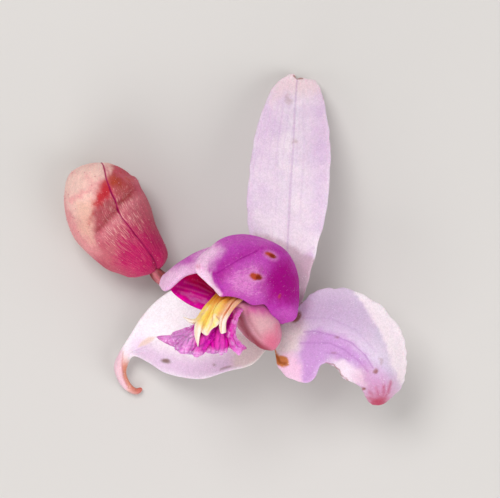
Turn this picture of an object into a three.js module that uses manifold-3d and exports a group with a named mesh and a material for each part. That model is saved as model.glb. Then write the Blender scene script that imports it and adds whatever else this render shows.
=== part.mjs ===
// Pine pink orchid, Bletia purpurea: the tip of a cut flower spray with one open flower and one bud.
// It lies on a flat surface, +Z up, in millimetres. The origin is the bottom centre of its box.
// The flower faces up and to the left, its back sepal points along +Y, and the bud lies to its left.
import * as THREE from "three";
import Module from "manifold-3d";
import { mergeVertices } from "three/addons/utils/BufferGeometryUtils.js";

const wasm = await Module();
wasm.setup();

// Driving dimensions
const sepalThickness = 0.7;
const petalThickness = 0.6;
const bractThickness = 0.6;
const clearance = 0.3;
const stemRadius = 1.1;
const stalkRadius = 0.6;
const ovaryRadius = 1;
const columnRadius = 0.8;
const footRadius = 0.42;
const antherRadius = 0.8;
const antherFlatness = 0.75;
const budSepalThickness = 0.85;
const budFlatness = 0.86;
const stemSides = 12;
const mergeDistance = 1e-4;

// The shapes are drawn from the flower's side, and this moves them to the bottom centre of the box.
const toOrigin = new THREE.Vector3(0.06, -0.08, 0.004);

// The flower's own frame: it grows from its hub, and forward is the way that it faces.
// The near side is the one turned to its right lateral sepal, and up is toward its back sepal.
const hub = new THREE.Vector3(5.3, -8.65, 7.0);
const forward = new THREE.Vector3(-0.62, 0.24, 0.747);
const near = new THREE.Vector3(0.77, 0, 0.639);
const up = new THREE.Vector3(0.153, 0.971, -0.185);

// A point of a rail, from its distances forward, to the near side and up from the hub.
function fromHub(forwardBy, nearBy, upBy) {
  return hub
    .clone()
    .addScaledVector(forward, forwardBy)
    .addScaledVector(near, nearBy)
    .addScaledVector(up, upBy)
    .toArray();
}

// Colours
const shades = {
  lavender: 0xe3d0e4,
  blush: 0xead9e8,
  petal: 0xbb45b6,
  magenta: 0xcc1aa4,
  yellow: 0xf2b93a,
  cream: 0xe8d6da,
  ovary: 0x8a6a58,
  stem: 0x6f5a48,
  bract: 0x8c6a66,
  rose: 0xcf6a80,
  salmon: 0xe0a09a,
};

const flower = new THREE.Group();
flower.position.copy(toOrigin);

function addPiece(name, geometry, shade, roughness = 0.55) {
  const material = new THREE.MeshStandardMaterial({ color: shades[shade], roughness, metalness: 0 });
  const mesh = new THREE.Mesh(geometry, material);
  mesh.name = name;
  flower.add(mesh);
}

// Helpers for closed bodies
function curveThrough(points) {
  return new THREE.CatmullRomCurve3(points.map((point) => new THREE.Vector3(...point)));
}

function fractions(count) {
  return Array.from({ length: count + 1 }, (_, step) => step / count);
}

// The angles of the sides of a ring, in radians
function turns(count) {
  return Array.from({ length: count }, (_, side) => (side / count) * 2 * Math.PI);
}

function geometryOf(points, triangles) {
  const geometry = new THREE.BufferGeometry();
  geometry.setAttribute("position", new THREE.Float32BufferAttribute(points.flatMap((p) => p.toArray()), 3));
  geometry.setIndex(triangles.flat());
  return geometry;
}

// The middle surface of a blade: rows of points across rails that run from its base to its tip.
function bladeRows(rails, along, across) {
  const curves = rails.map(curveThrough);
  return fractions(along).map((u) => {
    const line = new THREE.CatmullRomCurve3(curves.map((curve) => curve.getPoint(u)));
    return fractions(across).map((v) => line.getPoint(v));
  });
}

function rowNormals(rows) {
  const lastRow = rows.length - 1;
  const lastColumn = rows[0].length - 1;
  return rows.map((row, i) =>
    row.map((_, j) => {
      const alongStep = rows[Math.min(i + 1, lastRow)][j].clone().sub(rows[Math.max(i - 1, 0)][j]);
      const acrossStep = row[Math.min(j + 1, lastColumn)].clone().sub(row[Math.max(j - 1, 0)]);
      return alongStep.cross(acrossStep).normalize();
    }),
  );
}

function shifted(rows, normals, distanceAt) {
  const lastRow = rows.length - 1;
  const lastColumn = rows[0].length - 1;
  return rows.map((row, i) =>
    row.map((point, j) => point.clone().addScaledVector(normals[i][j], distanceAt(i / lastRow, j / lastColumn))),
  );
}

// The closed body between a front and a back grid of points, split by the same diagonals on both.
function bodyBetween(front, back) {
  const columns = front[0].length;
  const lastRow = front.length - 1;
  const lastColumn = columns - 1;
  const points = [...front.flat(), ...back.flat()];
  const frontAt = (i, j) => i * columns + j;
  const backAt = (i, j) => (front.length + i) * columns + j;
  const triangles = [];
  const quad = (a, b, c, d) => triangles.push([a, b, c], [a, c, d]);
  for (let i = 0; i < lastRow; i += 1) {
    for (let j = 0; j < lastColumn; j += 1) {
      quad(frontAt(i, j), frontAt(i + 1, j), frontAt(i + 1, j + 1), frontAt(i, j + 1));
      triangles.push([backAt(i, j), backAt(i + 1, j + 1), backAt(i + 1, j)]);
      triangles.push([backAt(i, j), backAt(i, j + 1), backAt(i + 1, j + 1)]);
    }
    quad(backAt(i, 0), backAt(i + 1, 0), frontAt(i + 1, 0), frontAt(i, 0));
    quad(frontAt(i, lastColumn), frontAt(i + 1, lastColumn), backAt(i + 1, lastColumn), backAt(i, lastColumn));
  }
  for (let j = 0; j < lastColumn; j += 1) {
    quad(frontAt(0, j), frontAt(0, j + 1), backAt(0, j + 1), backAt(0, j));
    quad(backAt(lastRow, j), backAt(lastRow, j + 1), frontAt(lastRow, j + 1), frontAt(lastRow, j));
  }
  return geometryOf(points, triangles);
}

// A blade of even thickness, with its middle surface raised or lowered by waveAt.
function blade(rails, { along, across, thickness = sepalThickness, waveAt = () => 0 }) {
  const rows = bladeRows(rails, along, across);
  const normals = rowNormals(rows);
  const front = shifted(rows, normals, (u, v) => waveAt(u, v) + thickness / 2);
  const back = shifted(rows, normals, (u, v) => waveAt(u, v) - thickness / 2);
  return bodyBetween(front, back);
}

// A closed body through rings of points, ended by a fan on the middle of its first and last ring.
function bodyThrough(rings) {
  const sides = rings[0].length;
  const points = rings.flat();
  const triangles = [];
  for (let i = 0; i < rings.length - 1; i += 1) {
    for (let k = 0; k < sides; k += 1) {
      const next = (k + 1) % sides;
      const [a, b] = [i * sides + k, i * sides + next];
      triangles.push([a, b, b + sides], [a, b + sides, a + sides]);
    }
  }
  const middleOf = (ring) => ring.reduce((sum, p) => sum.add(p), new THREE.Vector3()).divideScalar(sides);
  const first = points.push(middleOf(rings[0])) - 1;
  const last = points.push(middleOf(rings[rings.length - 1])) - 1;
  const lastRing = (rings.length - 1) * sides;
  for (let k = 0; k < sides; k += 1) {
    const next = (k + 1) % sides;
    triangles.push([first, next, k], [last, lastRing + k, lastRing + next]);
  }
  return geometryOf(points, triangles);
}

// A round stem along a route, with its radius running evenly through the given values.
function stem(route, radii, { steps, sides = stemSides }) {
  const curve = curveThrough(route);
  const frames = curve.computeFrenetFrames(steps);
  const radiusCurve = curveThrough(radii.map((radius, i) => [i, radius, 0]));
  const rings = fractions(steps).map((u, i) => {
    const middle = curve.getPointAt(u);
    const radius = radiusCurve.getPoint(u).y;
    return turns(sides).map((angle) =>
      middle
        .clone()
        .addScaledVector(frames.normals[i], radius * Math.cos(angle))
        .addScaledVector(frames.binormals[i], radius * Math.sin(angle)),
    );
  });
  return bodyThrough(rings);
}

function solidOf(geometry) {
  const merged = mergeVertices(geometry, mergeDistance);
  return new wasm.Manifold(
    new wasm.Mesh({
      numProp: 3,
      vertProperties: merged.attributes.position.array,
      triVerts: new Uint32Array(merged.index.array),
    }),
  );
}

function joined(geometries) {
  const solid = geometries.map(solidOf).reduce((sum, next) => sum.add(next));
  const mesh = solid.getMesh();
  const geometry = new THREE.BufferGeometry();
  geometry.setAttribute("position", new THREE.BufferAttribute(new Float32Array(mesh.vertProperties), 3));
  geometry.setIndex(new THREE.BufferAttribute(new Uint32Array(mesh.triVerts), 1));
  return geometry;
}

// Back sepal: a long strap that arches over and rests its blunt tip on the surface
const dorsalSepalRails = [
  [fromHub(0, -1, 1.5), [3.8, -5.1, 6.9], [1.9, -1.1, 8.8], [1.3, 2.8, 8.6], [1.5, 6.8, 7.6],
    [2.2, 10.9, 5.6], [3.2, 14.1, 3.6], [4.1, 15.8, 2.1], [5.4, 16.9, 1]],
  [fromHub(0.1, 0, 1.4), [5.3, -5.1, 7.2], [5.1, -1.1, 7.9], [5.3, 3, 7.5], [5.5, 7, 6.3],
    [5.9, 11.1, 4.4], [6.2, 14.3, 2.3], [6.4, 15.7, 1.1], [6.6, 16.6, 0.3]],
  [fromHub(-0.2, 1, 1.2), [7.2, -5.1, 7.5], [8.3, -1.1, 8.5], [9.3, 3, 8.2], [9.7, 7.5, 7],
    [9.6, 11.1, 5.1], [9.1, 14.2, 3.2], [8.8, 15.6, 1.9], [8.3, 16.4, 0.9]],
];
addPiece("dorsal_sepal", blade(dorsalSepalRails, { along: 24, across: 8 }), "lavender");

// Right lateral sepal: a broad sickle with a bite out of its inner margin
const rightSepalRails = [
  [fromHub(1, 0.8, 0.1), [7, -6.2, 8.3], [8, -5.2, 8.5], [9.6, -4.9, 8.8], [11.4, -4.9, 9.2],
    [13.2, -5.7, 9.5], [15, -7.1, 9.6], [16.5, -9.4, 9.3], [17, -12.3, 8.6], [16.3, -15, 7.4],
    [14.8, -16.3, 6.9]],
  [fromHub(1.25, 0.4, -1.1), [5.8, -9.8, 8.8], [7, -9.6, 9.5], [8.4, -9.2, 10.3], [9.8, -9.1, 11],
    [11.4, -9.4, 11.4], [12.8, -10.3, 11.6], [14.1, -11.8, 11.2], [14.9, -13.9, 10], [15, -15.5, 8.5],
    [14.5, -16.4, 7.1]],
  [fromHub(1.1, -0.2, -2.6), [4.5, -12.9, 8.8], [5.8, -14, 9.3], [7.8, -14.1, 9.8], [8.8, -12.4, 10.3],
    [9.8, -12.6, 10.8], [10.9, -13.8, 10.8], [12.6, -14.6, 10], [13.2, -15.6, 8.7], [13.8, -16.3, 7.6],
    [14.1, -16.5, 7.2]],
];
addPiece("lateral_sepal_right", blade(rightSepalRails, { along: 28, across: 8 }), "lavender");

// Left lateral sepal: a shallow dish that narrows into a hook, whose bend rests on the surface
const leftSepalRails = [
  [fromHub(0.2, -1.6, 0.2), [1.6, -6.7, 5.9], [-0.9, -5.5, 5.8], [-3.5, -4.9, 5], [-5.8, -4.9, 4.2],
    [-7.8, -6.1, 3.6], [-9.4, -7.8, 3], [-10.7, -9.8, 2.6], [-11.7, -11.4, 2.2], [-12.3, -12.9, 1.9],
    [-11.9, -14.5, 1.3], [-11.1, -15.5, 0.8], [-10.1, -15.9, 0.5], [-9.3, -15.5, 0.5]],
  [fromHub(0.2, -1.8, -1.2), [1.6, -9.7, 6], [-0.8, -9.5, 5.2], [-3.3, -9.4, 4.3], [-5.5, -9.6, 3.5],
    [-7.5, -10.1, 2.8], [-9, -10.9, 2.2], [-10.4, -11.5, 1.9], [-11.3, -12, 2.2], [-11.8, -13.1, 2.2],
    [-11.5, -14.3, 1.6], [-10.9, -15.2, 1], [-10.1, -15.6, 0.6], [-9.5, -15.3, 0.5]],
  [fromHub(0.25, -2, -2.7), [1.8, -12.6, 6.6], [-0.6, -13.3, 6], [-3.2, -14.1, 5.2], [-5.2, -14, 4.4],
    [-7.2, -13.5, 3.6], [-8.8, -12.5, 3], [-10.2, -11.9, 2.4], [-10.8, -12.5, 1.6], [-11.1, -13.5, 1.4],
    [-10.9, -14.4, 0.9], [-10.5, -15, 0.6], [-10, -15.3, 0.35], [-9.6, -15.1, 0.4]],
];
addPiece("lateral_sepal_left", blade(leftSepalRails, { along: 32, across: 8 }), "blush");

// Near petal: it rises from the hub and folds over the column as the near half of the hood
const nearPetalRails = [
  [fromHub(1.9, 1, 0.3), [4.8, -8.2, 11.5], [3.8, -7.4, 13.6], [3, -6.3, 15], [1.8, -6.3, 16.2],
    [0.7, -5.7, 17], [-0.3, -5.4, 17.6], [-1.2, -5.4, 17.8]],
  [fromHub(1.75, 1.1, 0.6), [5.7, -7.4, 11.2], [5, -6.2, 14], [3.8, -4.6, 16], [2.2, -3.9, 17.6],
    [0.8, -4, 18.2], [-0.7, -4.2, 18.6], [-2, -4.5, 18.3]],
  [fromHub(1.6, 1.15, 0.9), [6, -6.3, 10.8], [5.8, -4.5, 13], [4.6, -2.3, 15], [2.7, -1, 16.6],
    [0.9, -1.8, 18], [-0.7, -2.7, 18.6], [-2.8, -3.7, 18.1]],
  [fromHub(1.5, 1.1, 1.2), [6.1, -5.4, 9.8], [6.1, -3.6, 11], [5, -1.5, 13], [3, -0.2, 14.4],
    [0.7, 0.2, 15.4], [-1.2, -0.3, 16.2], [-3.5, -2.9, 17.4]],
  [fromHub(1.4, 0.95, 1.5), [5.9, -5, 8.7], [5.5, -2.6, 9.4], [4.4, -0.8, 10.4], [2.2, -0.1, 11.8],
    [0, -0.1, 13], [-1.9, -0.8, 14.4], [-3.7, -2.1, 16.4]],
];
addPiece("petal_near", blade(nearPetalRails, { along: 20, across: 14, thickness: petalThickness }), "petal");

// Far petal: the far half of the hood, tucked under the near petal's edge
const farPetalRails = [
  [fromHub(1.15, -0.9, 1.6), [4.7, -5, 9.4], [3.7, -2.5, 11.4], [2.1, -1.2, 12], [0.2, -1.1, 12.9],
    [-1.7, -1.8, 14.1], [-3, -3.2, 15]],
  [fromHub(1.2, -1.35, 1.2), [3.5, -5.1, 8.4], [2.6, -2.5, 10.6], [0.7, -1, 11.9], [-1.7, -0.9, 12.9],
    [-3.5, -1.8, 14.5], [-4.9, -3.7, 15]],
  [fromHub(1.3, -1.5, 0.7), [2.7, -6.1, 7.3], [1.6, -3.7, 9.2], [-0.8, -2.2, 10.6], [-3.4, -1.7, 12],
    [-5.5, -2.6, 13.4], [-6.5, -4.7, 14]],
  [fromHub(1.4, -1.6, 0.1), [2.3, -7.3, 7.1], [0.6, -5.7, 8], [-1.4, -4.4, 9.5], [-4, -3.4, 10.6],
    [-6.5, -3.9, 11.4], [-7.2, -4.9, 12]],
];
addPiece("petal_far", blade(farPetalRails, { along: 20, across: 10, thickness: petalThickness }), "petal");

// Lip: a trough with a lobe up each side of the column, and a ruffled middle lobe that hangs in front
const troughRails = [
  [fromHub(2.3, -0.6, -2.2), [2.9, -6.6, 8.3], [0.8, -4.6, 10.1], [-2.9, -3.4, 11.6], [-6.2, -4.5, 12.3]],
  [fromHub(2.3, -0.9, -2.4), [2, -7.8, 8.1], [0, -5.9, 9.8], [-2.6, -4.8, 11.2], [-4.7, -5.6, 13]],
  [fromHub(2.2, -0.6, -2.8), [1.5, -9.2, 8.8], [-0.3, -7.2, 10.8], [-1.7, -6.1, 12.8], [-3, -6.2, 13.8]],
  [fromHub(2.2, 0, -2.9), [2.4, -9.5, 10.4], [0.9, -7.6, 12.6], [-0.4, -6.2, 14.4], [-1.4, -6, 15]],
  [fromHub(2.2, 0.6, -2.8), [3.1, -10, 12], [1.9, -8.3, 14], [0.9, -6.8, 15.6], [0.2, -6.3, 16]],
  [fromHub(2.3, 0.9, -2.4), [4.1, -9.3, 12.2], [2.9, -7.5, 14.3], [2, -6.4, 15.3], [0.9, -6.1, 15.5]],
  [fromHub(2.3, 0.6, -2.2), [3.8, -8.2, 11], [3, -6.4, 12.7], [2.2, -5.4, 14], [1.2, -5.5, 14.5]],
];
const middleLobeRails = [
  [[-1.7, -5.6, 13.4], [-2.4, -6.4, 14.6], [-3.3, -7.7, 15.2], [-4.3, -8.8, 15], [-5.8, -9.4, 14.6],
    [-7.5, -9.7, 13.8]],
  [[-1.2, -5.6, 14], [-1.7, -6.5, 15.2], [-2.5, -7.8, 16], [-3.3, -8.9, 16.4], [-4.4, -9.9, 16.2],
    [-5.2, -11, 15.6]],
  [[-0.5, -5.6, 14.6], [-1, -6.6, 15.8], [-1.7, -7.8, 16.4], [-2.3, -8.9, 16.9], [-2.9, -10.1, 17],
    [-3.5, -11.3, 16.6]],
  [[0.1, -5.8, 14.9], [-0.3, -6.8, 16], [-0.7, -7.9, 16.6], [-1.1, -9, 16.8], [-1.2, -10, 16.6],
    [-1.3, -10.9, 16]],
  [[0.6, -6, 15.2], [0.4, -6.9, 16.4], [0.1, -7.9, 17.1], [-0.1, -9, 17.5], [0.2, -10, 17.1],
    [1.2, -10.9, 15.8]],
];
const ruffleHeight = 0.45;
const ruffleCount = 4.5;
const ruffleDrift = 0.8;
function ruffleAt(u, v) {
  const turn = 2 * Math.PI * ruffleCount * v;
  return ruffleHeight * u ** 2 * Math.sin(turn + ruffleDrift * Math.sin(turn / 2));
}
const lipPieces = [
  blade(troughRails, { along: 12, across: 18, thickness: petalThickness }),
  blade(middleLobeRails, { along: 10, across: 25, thickness: petalThickness, waveAt: ruffleAt }),
];
addPiece("lip", joined(lipPieces), "magenta");

// Keels: a pad of five long ridges on the lip, three of which run out into free points
const keelRails = [
  [[-2.2, -6.3, 15.7], [-2.7, -6.9, 16.3], [-3.3, -7.7, 16.7], [-4, -8.4, 16.7]],
  [[-1.4, -6.3, 16.4], [-2, -6.9, 17], [-2.7, -7.9, 17.4], [-3.3, -8.8, 17.6]],
  [[-0.6, -6.4, 16.9], [-1.2, -6.9, 17.4], [-2, -7.8, 17.9], [-2.7, -8.8, 18]],
  [[0, -6.5, 17.1], [-0.5, -7, 17.8], [-1.3, -7.8, 18.1], [-1.9, -8.6, 18.1]],
  [[0.4, -6.6, 17.1], [0, -7.2, 17.9], [-0.5, -7.8, 18.6], [-1, -8.8, 18.6]],
];
const keelCount = 5;
const keelFloor = 0.5;
const keelHeight = 0.5;
const keelPointRadii = [0.45, 0.35, 0.1];
const keelPointRoutes = [
  [[-3.2, -7.7, 17.1], [-4.2, -7.9, 17.4], [-4.9, -7.6, 17.2]],
  [[-3, -8.2, 17.7], [-3.3, -9.5, 18.2], [-3.3, -10.4, 18]],
  [[-0.9, -8.3, 18.8], [-1, -8.9, 18.8], [-1.1, -9.4, 18.7]],
];
function keelPad() {
  const rows = bladeRows(keelRails, 8, 4 * keelCount);
  const normals = rowNormals(rows);
  const ridgeAt = (u, v) => keelHeight * Math.min(1, 3 * u) * Math.sin(Math.PI * keelCount * v) ** 2;
  return bodyBetween(
    shifted(rows, normals, (u, v) => keelFloor / 2 + ridgeAt(u, v)),
    shifted(rows, normals, () => -keelFloor / 2),
  );
}
const keelPoints = keelPointRoutes.map((route) => stem(route, keelPointRadii, { steps: 4, sides: 6 }));
addPiece("lip_keels", joined([keelPad(), ...keelPoints]), "yellow");

// Column: the arched middle of the flower inside the hood, with its foot toward the lip
const columnRoute = [
  fromHub(0.5, -0.3, 0.35), fromHub(3, 0.1, 1.4), fromHub(5.5, 0, 2.8), fromHub(7.8, 0, 3),
  fromHub(9.4, 0, 2.3),
];
const footRoute = [fromHub(0.8, -0.5, 0.2), fromHub(1.3, -0.6, -0.8), fromHub(1.6, -0.5, -1.6)];
addPiece(
  "column",
  joined([
    stem(columnRoute, [0.75, 0.8, 1, 1.2, 1.25].map((share) => share * columnRadius), { steps: 16 }),
    stem(footRoute, [1.2, 1, 0.95].map((share) => share * footRadius), { steps: 5 }),
  ]),
  "cream",
);

// Anther cap: a small bead on the end of the column
const antherCap = new THREE.SphereGeometry(antherRadius, 12, 8);
antherCap.scale(1, 1, antherFlatness);
antherCap.translate(...fromHub(10.4, 0.1, 2));
antherCap.deleteAttribute("normal");
antherCap.deleteAttribute("uv");
addPiece("anther_cap", mergeVertices(antherCap, mergeDistance), "yellow");

// Stems: the cut stem on the surface, the flower's ovary above it and the bud's stalk past its tip
const mainStemRoute = [
  [15.4, -11.2, stemRadius], [12, -9.6, stemRadius], [9, -8.2, stemRadius], [6, -7.2, stemRadius],
  [3.6, -6.5, stemRadius], [2, -6.3, stemRadius],
];
const mainStemRadii = [1, 1, 1, 0.95, 0.9, 0.73].map((share) => share * stemRadius);
addPiece("stem", stem(mainStemRoute, mainStemRadii, { steps: 16 }), "stem");
const ovaryRoute = [
  [11.4, -9.2, 3.05], [10.2, -9.4, 3.4], [8.8, -9.6, 3.9], [7.2, -9.3, 4.9], [6.2, -9, 6],
  fromHub(-0.1, 0, 0),
];
const ovaryRadii = [0.55, 0.65, 0.85, 1, 1, 0.9].map((share) => share * ovaryRadius);
addPiece("ovary", stem(ovaryRoute, ovaryRadii, { steps: 14 }), "ovary");
const budStalkRoute = [
  [1.6, -6.25, 1.15], [-0.5, -6.1, 1.6], [-3, -5.6, 2.2], [-5.2, -4.9, 2.7], [-7, -4.15, 3.1],
  [-7.7, -3.7, 3.35],
];
const budStalkRadii = [1, 1, 1.03, 1.08, 1.15, 1.15].map((share) => share * stalkRadius);
addPiece("bud_stalk", stem(budStalkRoute, budStalkRadii, { steps: 12 }), "ovary");

// Bract: a small scale leaf under the flower's stalk
const flowerBractRails = [
  [[12.6, -11.5, 1.6], [11.1, -11.8, 2.2], [9.6, -11.2, 3.5]],
  [[12.4, -11.1, 2.2], [11, -11.3, 2.9], [9.6, -11.05, 3.7]],
  [[12.4, -10.6, 2.8], [11, -10.6, 3.5], [9.7, -10.9, 3.9]],
];
addPiece("flower_bract", blade(flowerBractRails, { along: 6, across: 6, thickness: bractThickness }), "bract");

// Bud: three thick sepals that meet edge to edge round the furled petals
const budStations = [
  { at: [-8.05, -3.15, 3.4], radius: 1.45 },
  { at: [-8.45, -2.55, 3.45], radius: 2.1 },
  { at: [-9.1, -1.85, 3.5], radius: 2.65 },
  { at: [-10.5, -0.6, 3.6], radius: 3.4 },
  { at: [-11.7, 0.9, 3.6], radius: 3.95 },
  { at: [-12.7, 2.4, 3.6], radius: 4.2 },
  { at: [-13.3, 4, 3.6], radius: 4.1 },
  { at: [-13.5, 5.1, 3.6], radius: 3.9 },
  { at: [-13.7, 6.1, 3.6], radius: 3.5 },
  { at: [-13.7, 6.9, 3.6], radius: 2.9 },
  { at: [-13.7, 7.5, 3.6], radius: 1.9 },
  { at: [-13.7, 7.8, 3.6], radius: 0.9 },
];
const budSeams = { top: 78, left: 198, right: 318 };
const budSteps = { along: 14, across: 8 };
const leastBudRadius = 0.3;
const budCore = { start: 0.1, end: 0.86, depth: budSepalThickness + 1.5 * clearance, rings: 12, sides: 12 };
const budAxis = curveThrough(budStations.map(({ at }) => at));
const budRadii = curveThrough(budStations.map(({ radius }, i) => [i, radius, 0]));
const skyward = new THREE.Vector3(0, 0, 1);

const budRadiusAt = (height, depth) => Math.max(budRadii.getPoint(height).y - depth, leastBudRadius);

// A point of the bud at a height along its axis, a turn round it and a depth below its surface.
function budPoint(height, turn, depth) {
  const sideways = budAxis.getTangent(height).cross(skyward).normalize();
  const reach = budRadiusAt(height, depth);
  return budAxis
    .getPoint(height)
    .addScaledVector(sideways, reach * Math.cos(turn))
    .addScaledVector(skyward, reach * budFlatness * Math.sin(turn));
}

function budSepal(fromDegrees, toDegrees) {
  const start = THREE.MathUtils.degToRad(fromDegrees);
  const end = THREE.MathUtils.degToRad(toDegrees);
  const surface = (depth) =>
    fractions(budSteps.along).map((height) => {
      const inset = clearance / 2 / budRadiusAt(height, depth);
      return fractions(budSteps.across).map((v) =>
        budPoint(height, THREE.MathUtils.lerp(start + inset, end - inset, v), depth),
      );
    });
  return bodyBetween(surface(0), surface(budSepalThickness));
}
addPiece("bud_sepal_left", budSepal(budSeams.top, budSeams.left), "salmon");
addPiece("bud_sepal_right", budSepal(budSeams.right - 360, budSeams.top), "rose");
addPiece("bud_sepal_back", budSepal(budSeams.left, budSeams.right), "rose");

const budCoreRings = fractions(budCore.rings).map((step) => {
  const height = THREE.MathUtils.lerp(budCore.start, budCore.end, step);
  return turns(budCore.sides).map((turn) => budPoint(height, -turn, budCore.depth));
});
addPiece("bud_petals", bodyThrough(budCoreRings), "magenta");

export default flower;
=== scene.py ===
"""A picked spray tip of a pine pink orchid, with one open flower and one bud, dressed over its CAD solids.

Shapes are drawn in millimetres, in the same frame as the solids, and are turned into metres when a mesh
is made. Marks on the tissues are placed by where they are seen from straight above, in picture places.
"""

import math

import bmesh
import bpy
import numpy as np
from bpy.props import FloatProperty, FloatVectorProperty, IntProperty, PointerProperty
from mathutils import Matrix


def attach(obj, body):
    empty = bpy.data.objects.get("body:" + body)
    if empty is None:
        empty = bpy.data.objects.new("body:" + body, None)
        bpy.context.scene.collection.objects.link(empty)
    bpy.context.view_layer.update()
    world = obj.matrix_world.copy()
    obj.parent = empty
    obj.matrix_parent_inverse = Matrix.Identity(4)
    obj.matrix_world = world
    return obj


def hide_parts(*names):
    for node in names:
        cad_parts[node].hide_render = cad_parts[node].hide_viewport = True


bl_info = {
    "name": "Pine Pink Orchid",
    "version": (1, 0, 0),
    "blender": (4, 5, 0),
    "location": "View3D > Sidebar > Orchid",
    "description": "Builds a picked orchid flower and bud over their solids",
    "category": "Add Mesh",
}

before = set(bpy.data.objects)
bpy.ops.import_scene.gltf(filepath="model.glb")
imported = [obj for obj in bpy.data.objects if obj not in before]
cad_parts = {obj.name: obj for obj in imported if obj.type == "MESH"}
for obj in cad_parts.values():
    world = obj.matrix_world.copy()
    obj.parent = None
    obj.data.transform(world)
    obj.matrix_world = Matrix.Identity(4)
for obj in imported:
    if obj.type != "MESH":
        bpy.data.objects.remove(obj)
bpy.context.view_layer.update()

MM = 0.001
TO_ORIGIN = np.array([0.06, -0.08, 0.004])

# The eye is straight above the flower. At the height of the picture plane one picture place is 0.1 mm.
EYE = np.array([1.66, -1.03, 309.0])
PLANE_HEIGHT = 9.0
PLACES_PER_MM = 10.0
PICTURE_CENTRE = np.array([250.0, 249.0])
FRAME_WIDTH = 50.0
SENSOR_WIDTH = 36.0

HUB = np.array([5.3, -8.65, 7.0])
FORWARD = np.array([-0.62, 0.24, 0.747])
NEAR = np.array([0.77, 0.0, 0.639])
UP = np.array([0.153, 0.971, -0.185])


def from_hub(forward_by, near_by, up_by):
    return tuple(HUB + forward_by * FORWARD + near_by * NEAR + up_by * UP)


def colour_of(code):
    """A linear colour from a display colour such as 0xE6D3E6."""
    shares = [(code >> shift & 255) / 255 for shift in (16, 8, 0)]
    return tuple(s / 12.92 if s <= 0.04045 else ((s + 0.055) / 1.055) ** 2.4 for s in shares)


def length_property(name, description, default):
    return FloatProperty(
        name=name, description=description, default=default, min=0.0, subtype="DISTANCE", unit="LENGTH"
    )


def tint_property(name, description, code):
    return FloatVectorProperty(
        name=name, description=description, default=colour_of(code), size=3, min=0.0, max=1.0, subtype="COLOR"
    )


class OrchidSizes(bpy.types.PropertyGroup):
    sepal_thickness: length_property("Sepal thickness", "Thickness of a sepal along its midrib", 0.00055)
    petal_thickness: length_property("Petal thickness", "Thickness of a petal along its midrib", 0.0005)
    lip_thickness: length_property("Lip thickness", "Thickness of the lip", 0.0005)
    vein_relief: length_property("Vein relief", "Height of the veins on the back of a sepal", 0.00004)
    cell_size: length_property("Cell size", "Distance between the glistening cells of the skin", 0.00011)
    ruffle_height: length_property("Ruffle height", "Height of the ruffles on the lip's margin", 0.00045)
    wart_count: IntProperty(name="Wart count", description="Number of warts on the bud", default=260, min=0)


class OrchidColours(bpy.types.PropertyGroup):
    sepal: tint_property("Sepal", "Body colour of the back and right sepals", 0xE0CDE2)
    sepal_pale: tint_property("Pale sepal", "Body colour of the left sepal and of pale margins", 0xF0E2EC)
    lilac: tint_property("Lilac", "Lilac wash on the sepals", 0xC68ECF)
    vein: tint_property("Vein", "Veins of the sepals", 0xA96BB4)
    brown: tint_property("Brown marks", "Small bruises and scars", 0x8A4A22)
    petal: tint_property("Petal", "Body colour of the petals", 0xB838AC)
    petal_deep: tint_property("Deep petal", "Deepest magenta of the petals", 0xA20080)
    lip: tint_property("Lip", "Magenta of the lip", 0xF000AA)
    # Also the colour of the painted shade at the top of the lip's throat.
    lip_dark: tint_property("Lip throat", "Dark crimson of the lip's throat", 0xE00060)
    pouch: tint_property("Pouch", "Dusty pink of the outside of the lip", 0xCE8CA0)
    keel: tint_property("Keel", "Yellow of the keels", 0xFFD65C)
    keel_tip: tint_property("Keel tip", "Cream of the keels' free points", 0xFFF0E8)
    column: tint_property("Column", "Body colour of the column", 0xE9D2E0)
    bud_rose: tint_property("Bud rose", "Rose of the bud", 0xC05268)
    # Also painted as light on the bud's lit upper left flank.
    bud_cream: tint_property("Bud cream", "Cream of the bud's sunny side", 0xF8D2C6)
    bud_deep: tint_property("Bud magenta", "Deep magenta of the bud's base and seams", 0xD81E74)
    stalk: tint_property("Stalk", "Dark red of the flower stalks", 0x8A3A3C)
    stem: tint_property("Stem", "Green brown of the main stem", 0x6F6A45)
    floor: tint_property("Floor", "Pale floor", 0xD0CDCA)


# Curves and grids


def knot_gap(a, b):
    """The spacing of two stations on a centripetal curve."""
    return np.sqrt(np.linalg.norm(b - a, axis=-1, keepdims=True))


def curve_at(stations, shares):
    """Places at shares of the centripetal curve through stations, which may stand side by side."""
    stations = np.asarray(stations, float)
    shares = np.asarray(shares, float)
    before = 2 * stations[0] - stations[1]
    after = 2 * stations[-1] - stations[-2]
    reach = np.concatenate([before[None], stations, after[None]])
    last = len(stations) - 2
    step = np.minimum((shares * (last + 1)).astype(int), last)
    weight = shares * (last + 1) - step
    p0, p1, p2, p3 = (reach[step + k] for k in range(4))
    d0, d1, d2 = knot_gap(p0, p1), knot_gap(p1, p2), knot_gap(p2, p3)
    d1 = np.where(d1 < 1e-4, 1.0, d1)
    d0 = np.where(d0 < 1e-4, d1, d0)
    d2 = np.where(d2 < 1e-4, d1, d2)
    t1 = ((p1 - p0) / d0 - (p2 - p0) / (d0 + d1) + (p2 - p1) / d1) * d1
    t2 = ((p2 - p1) / d1 - (p3 - p1) / (d1 + d2) + (p3 - p2) / d2) * d1
    w = weight.reshape((-1,) + (1,) * (stations.ndim - 1))
    c2 = -3 * p1 + 3 * p2 - 2 * t1 - t2
    c3 = 2 * p1 - 2 * p2 + t1 + t2
    return p1 + t1 * w + c2 * w**2 + c3 * w**3


def close_ended(count, ends):
    """Even shares from 0 to 1 with extra ones close to both ends, where an edge is rounded."""
    inner = np.linspace(2 * ends[-1] - ends[-2], 1 - (2 * ends[-1] - ends[-2]), count)
    return np.concatenate([ends, inner, 1 - np.array(ends[::-1])])


def unit(vectors):
    return vectors / np.maximum(np.linalg.norm(vectors, axis=-1, keepdims=True), 1e-12)


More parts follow.
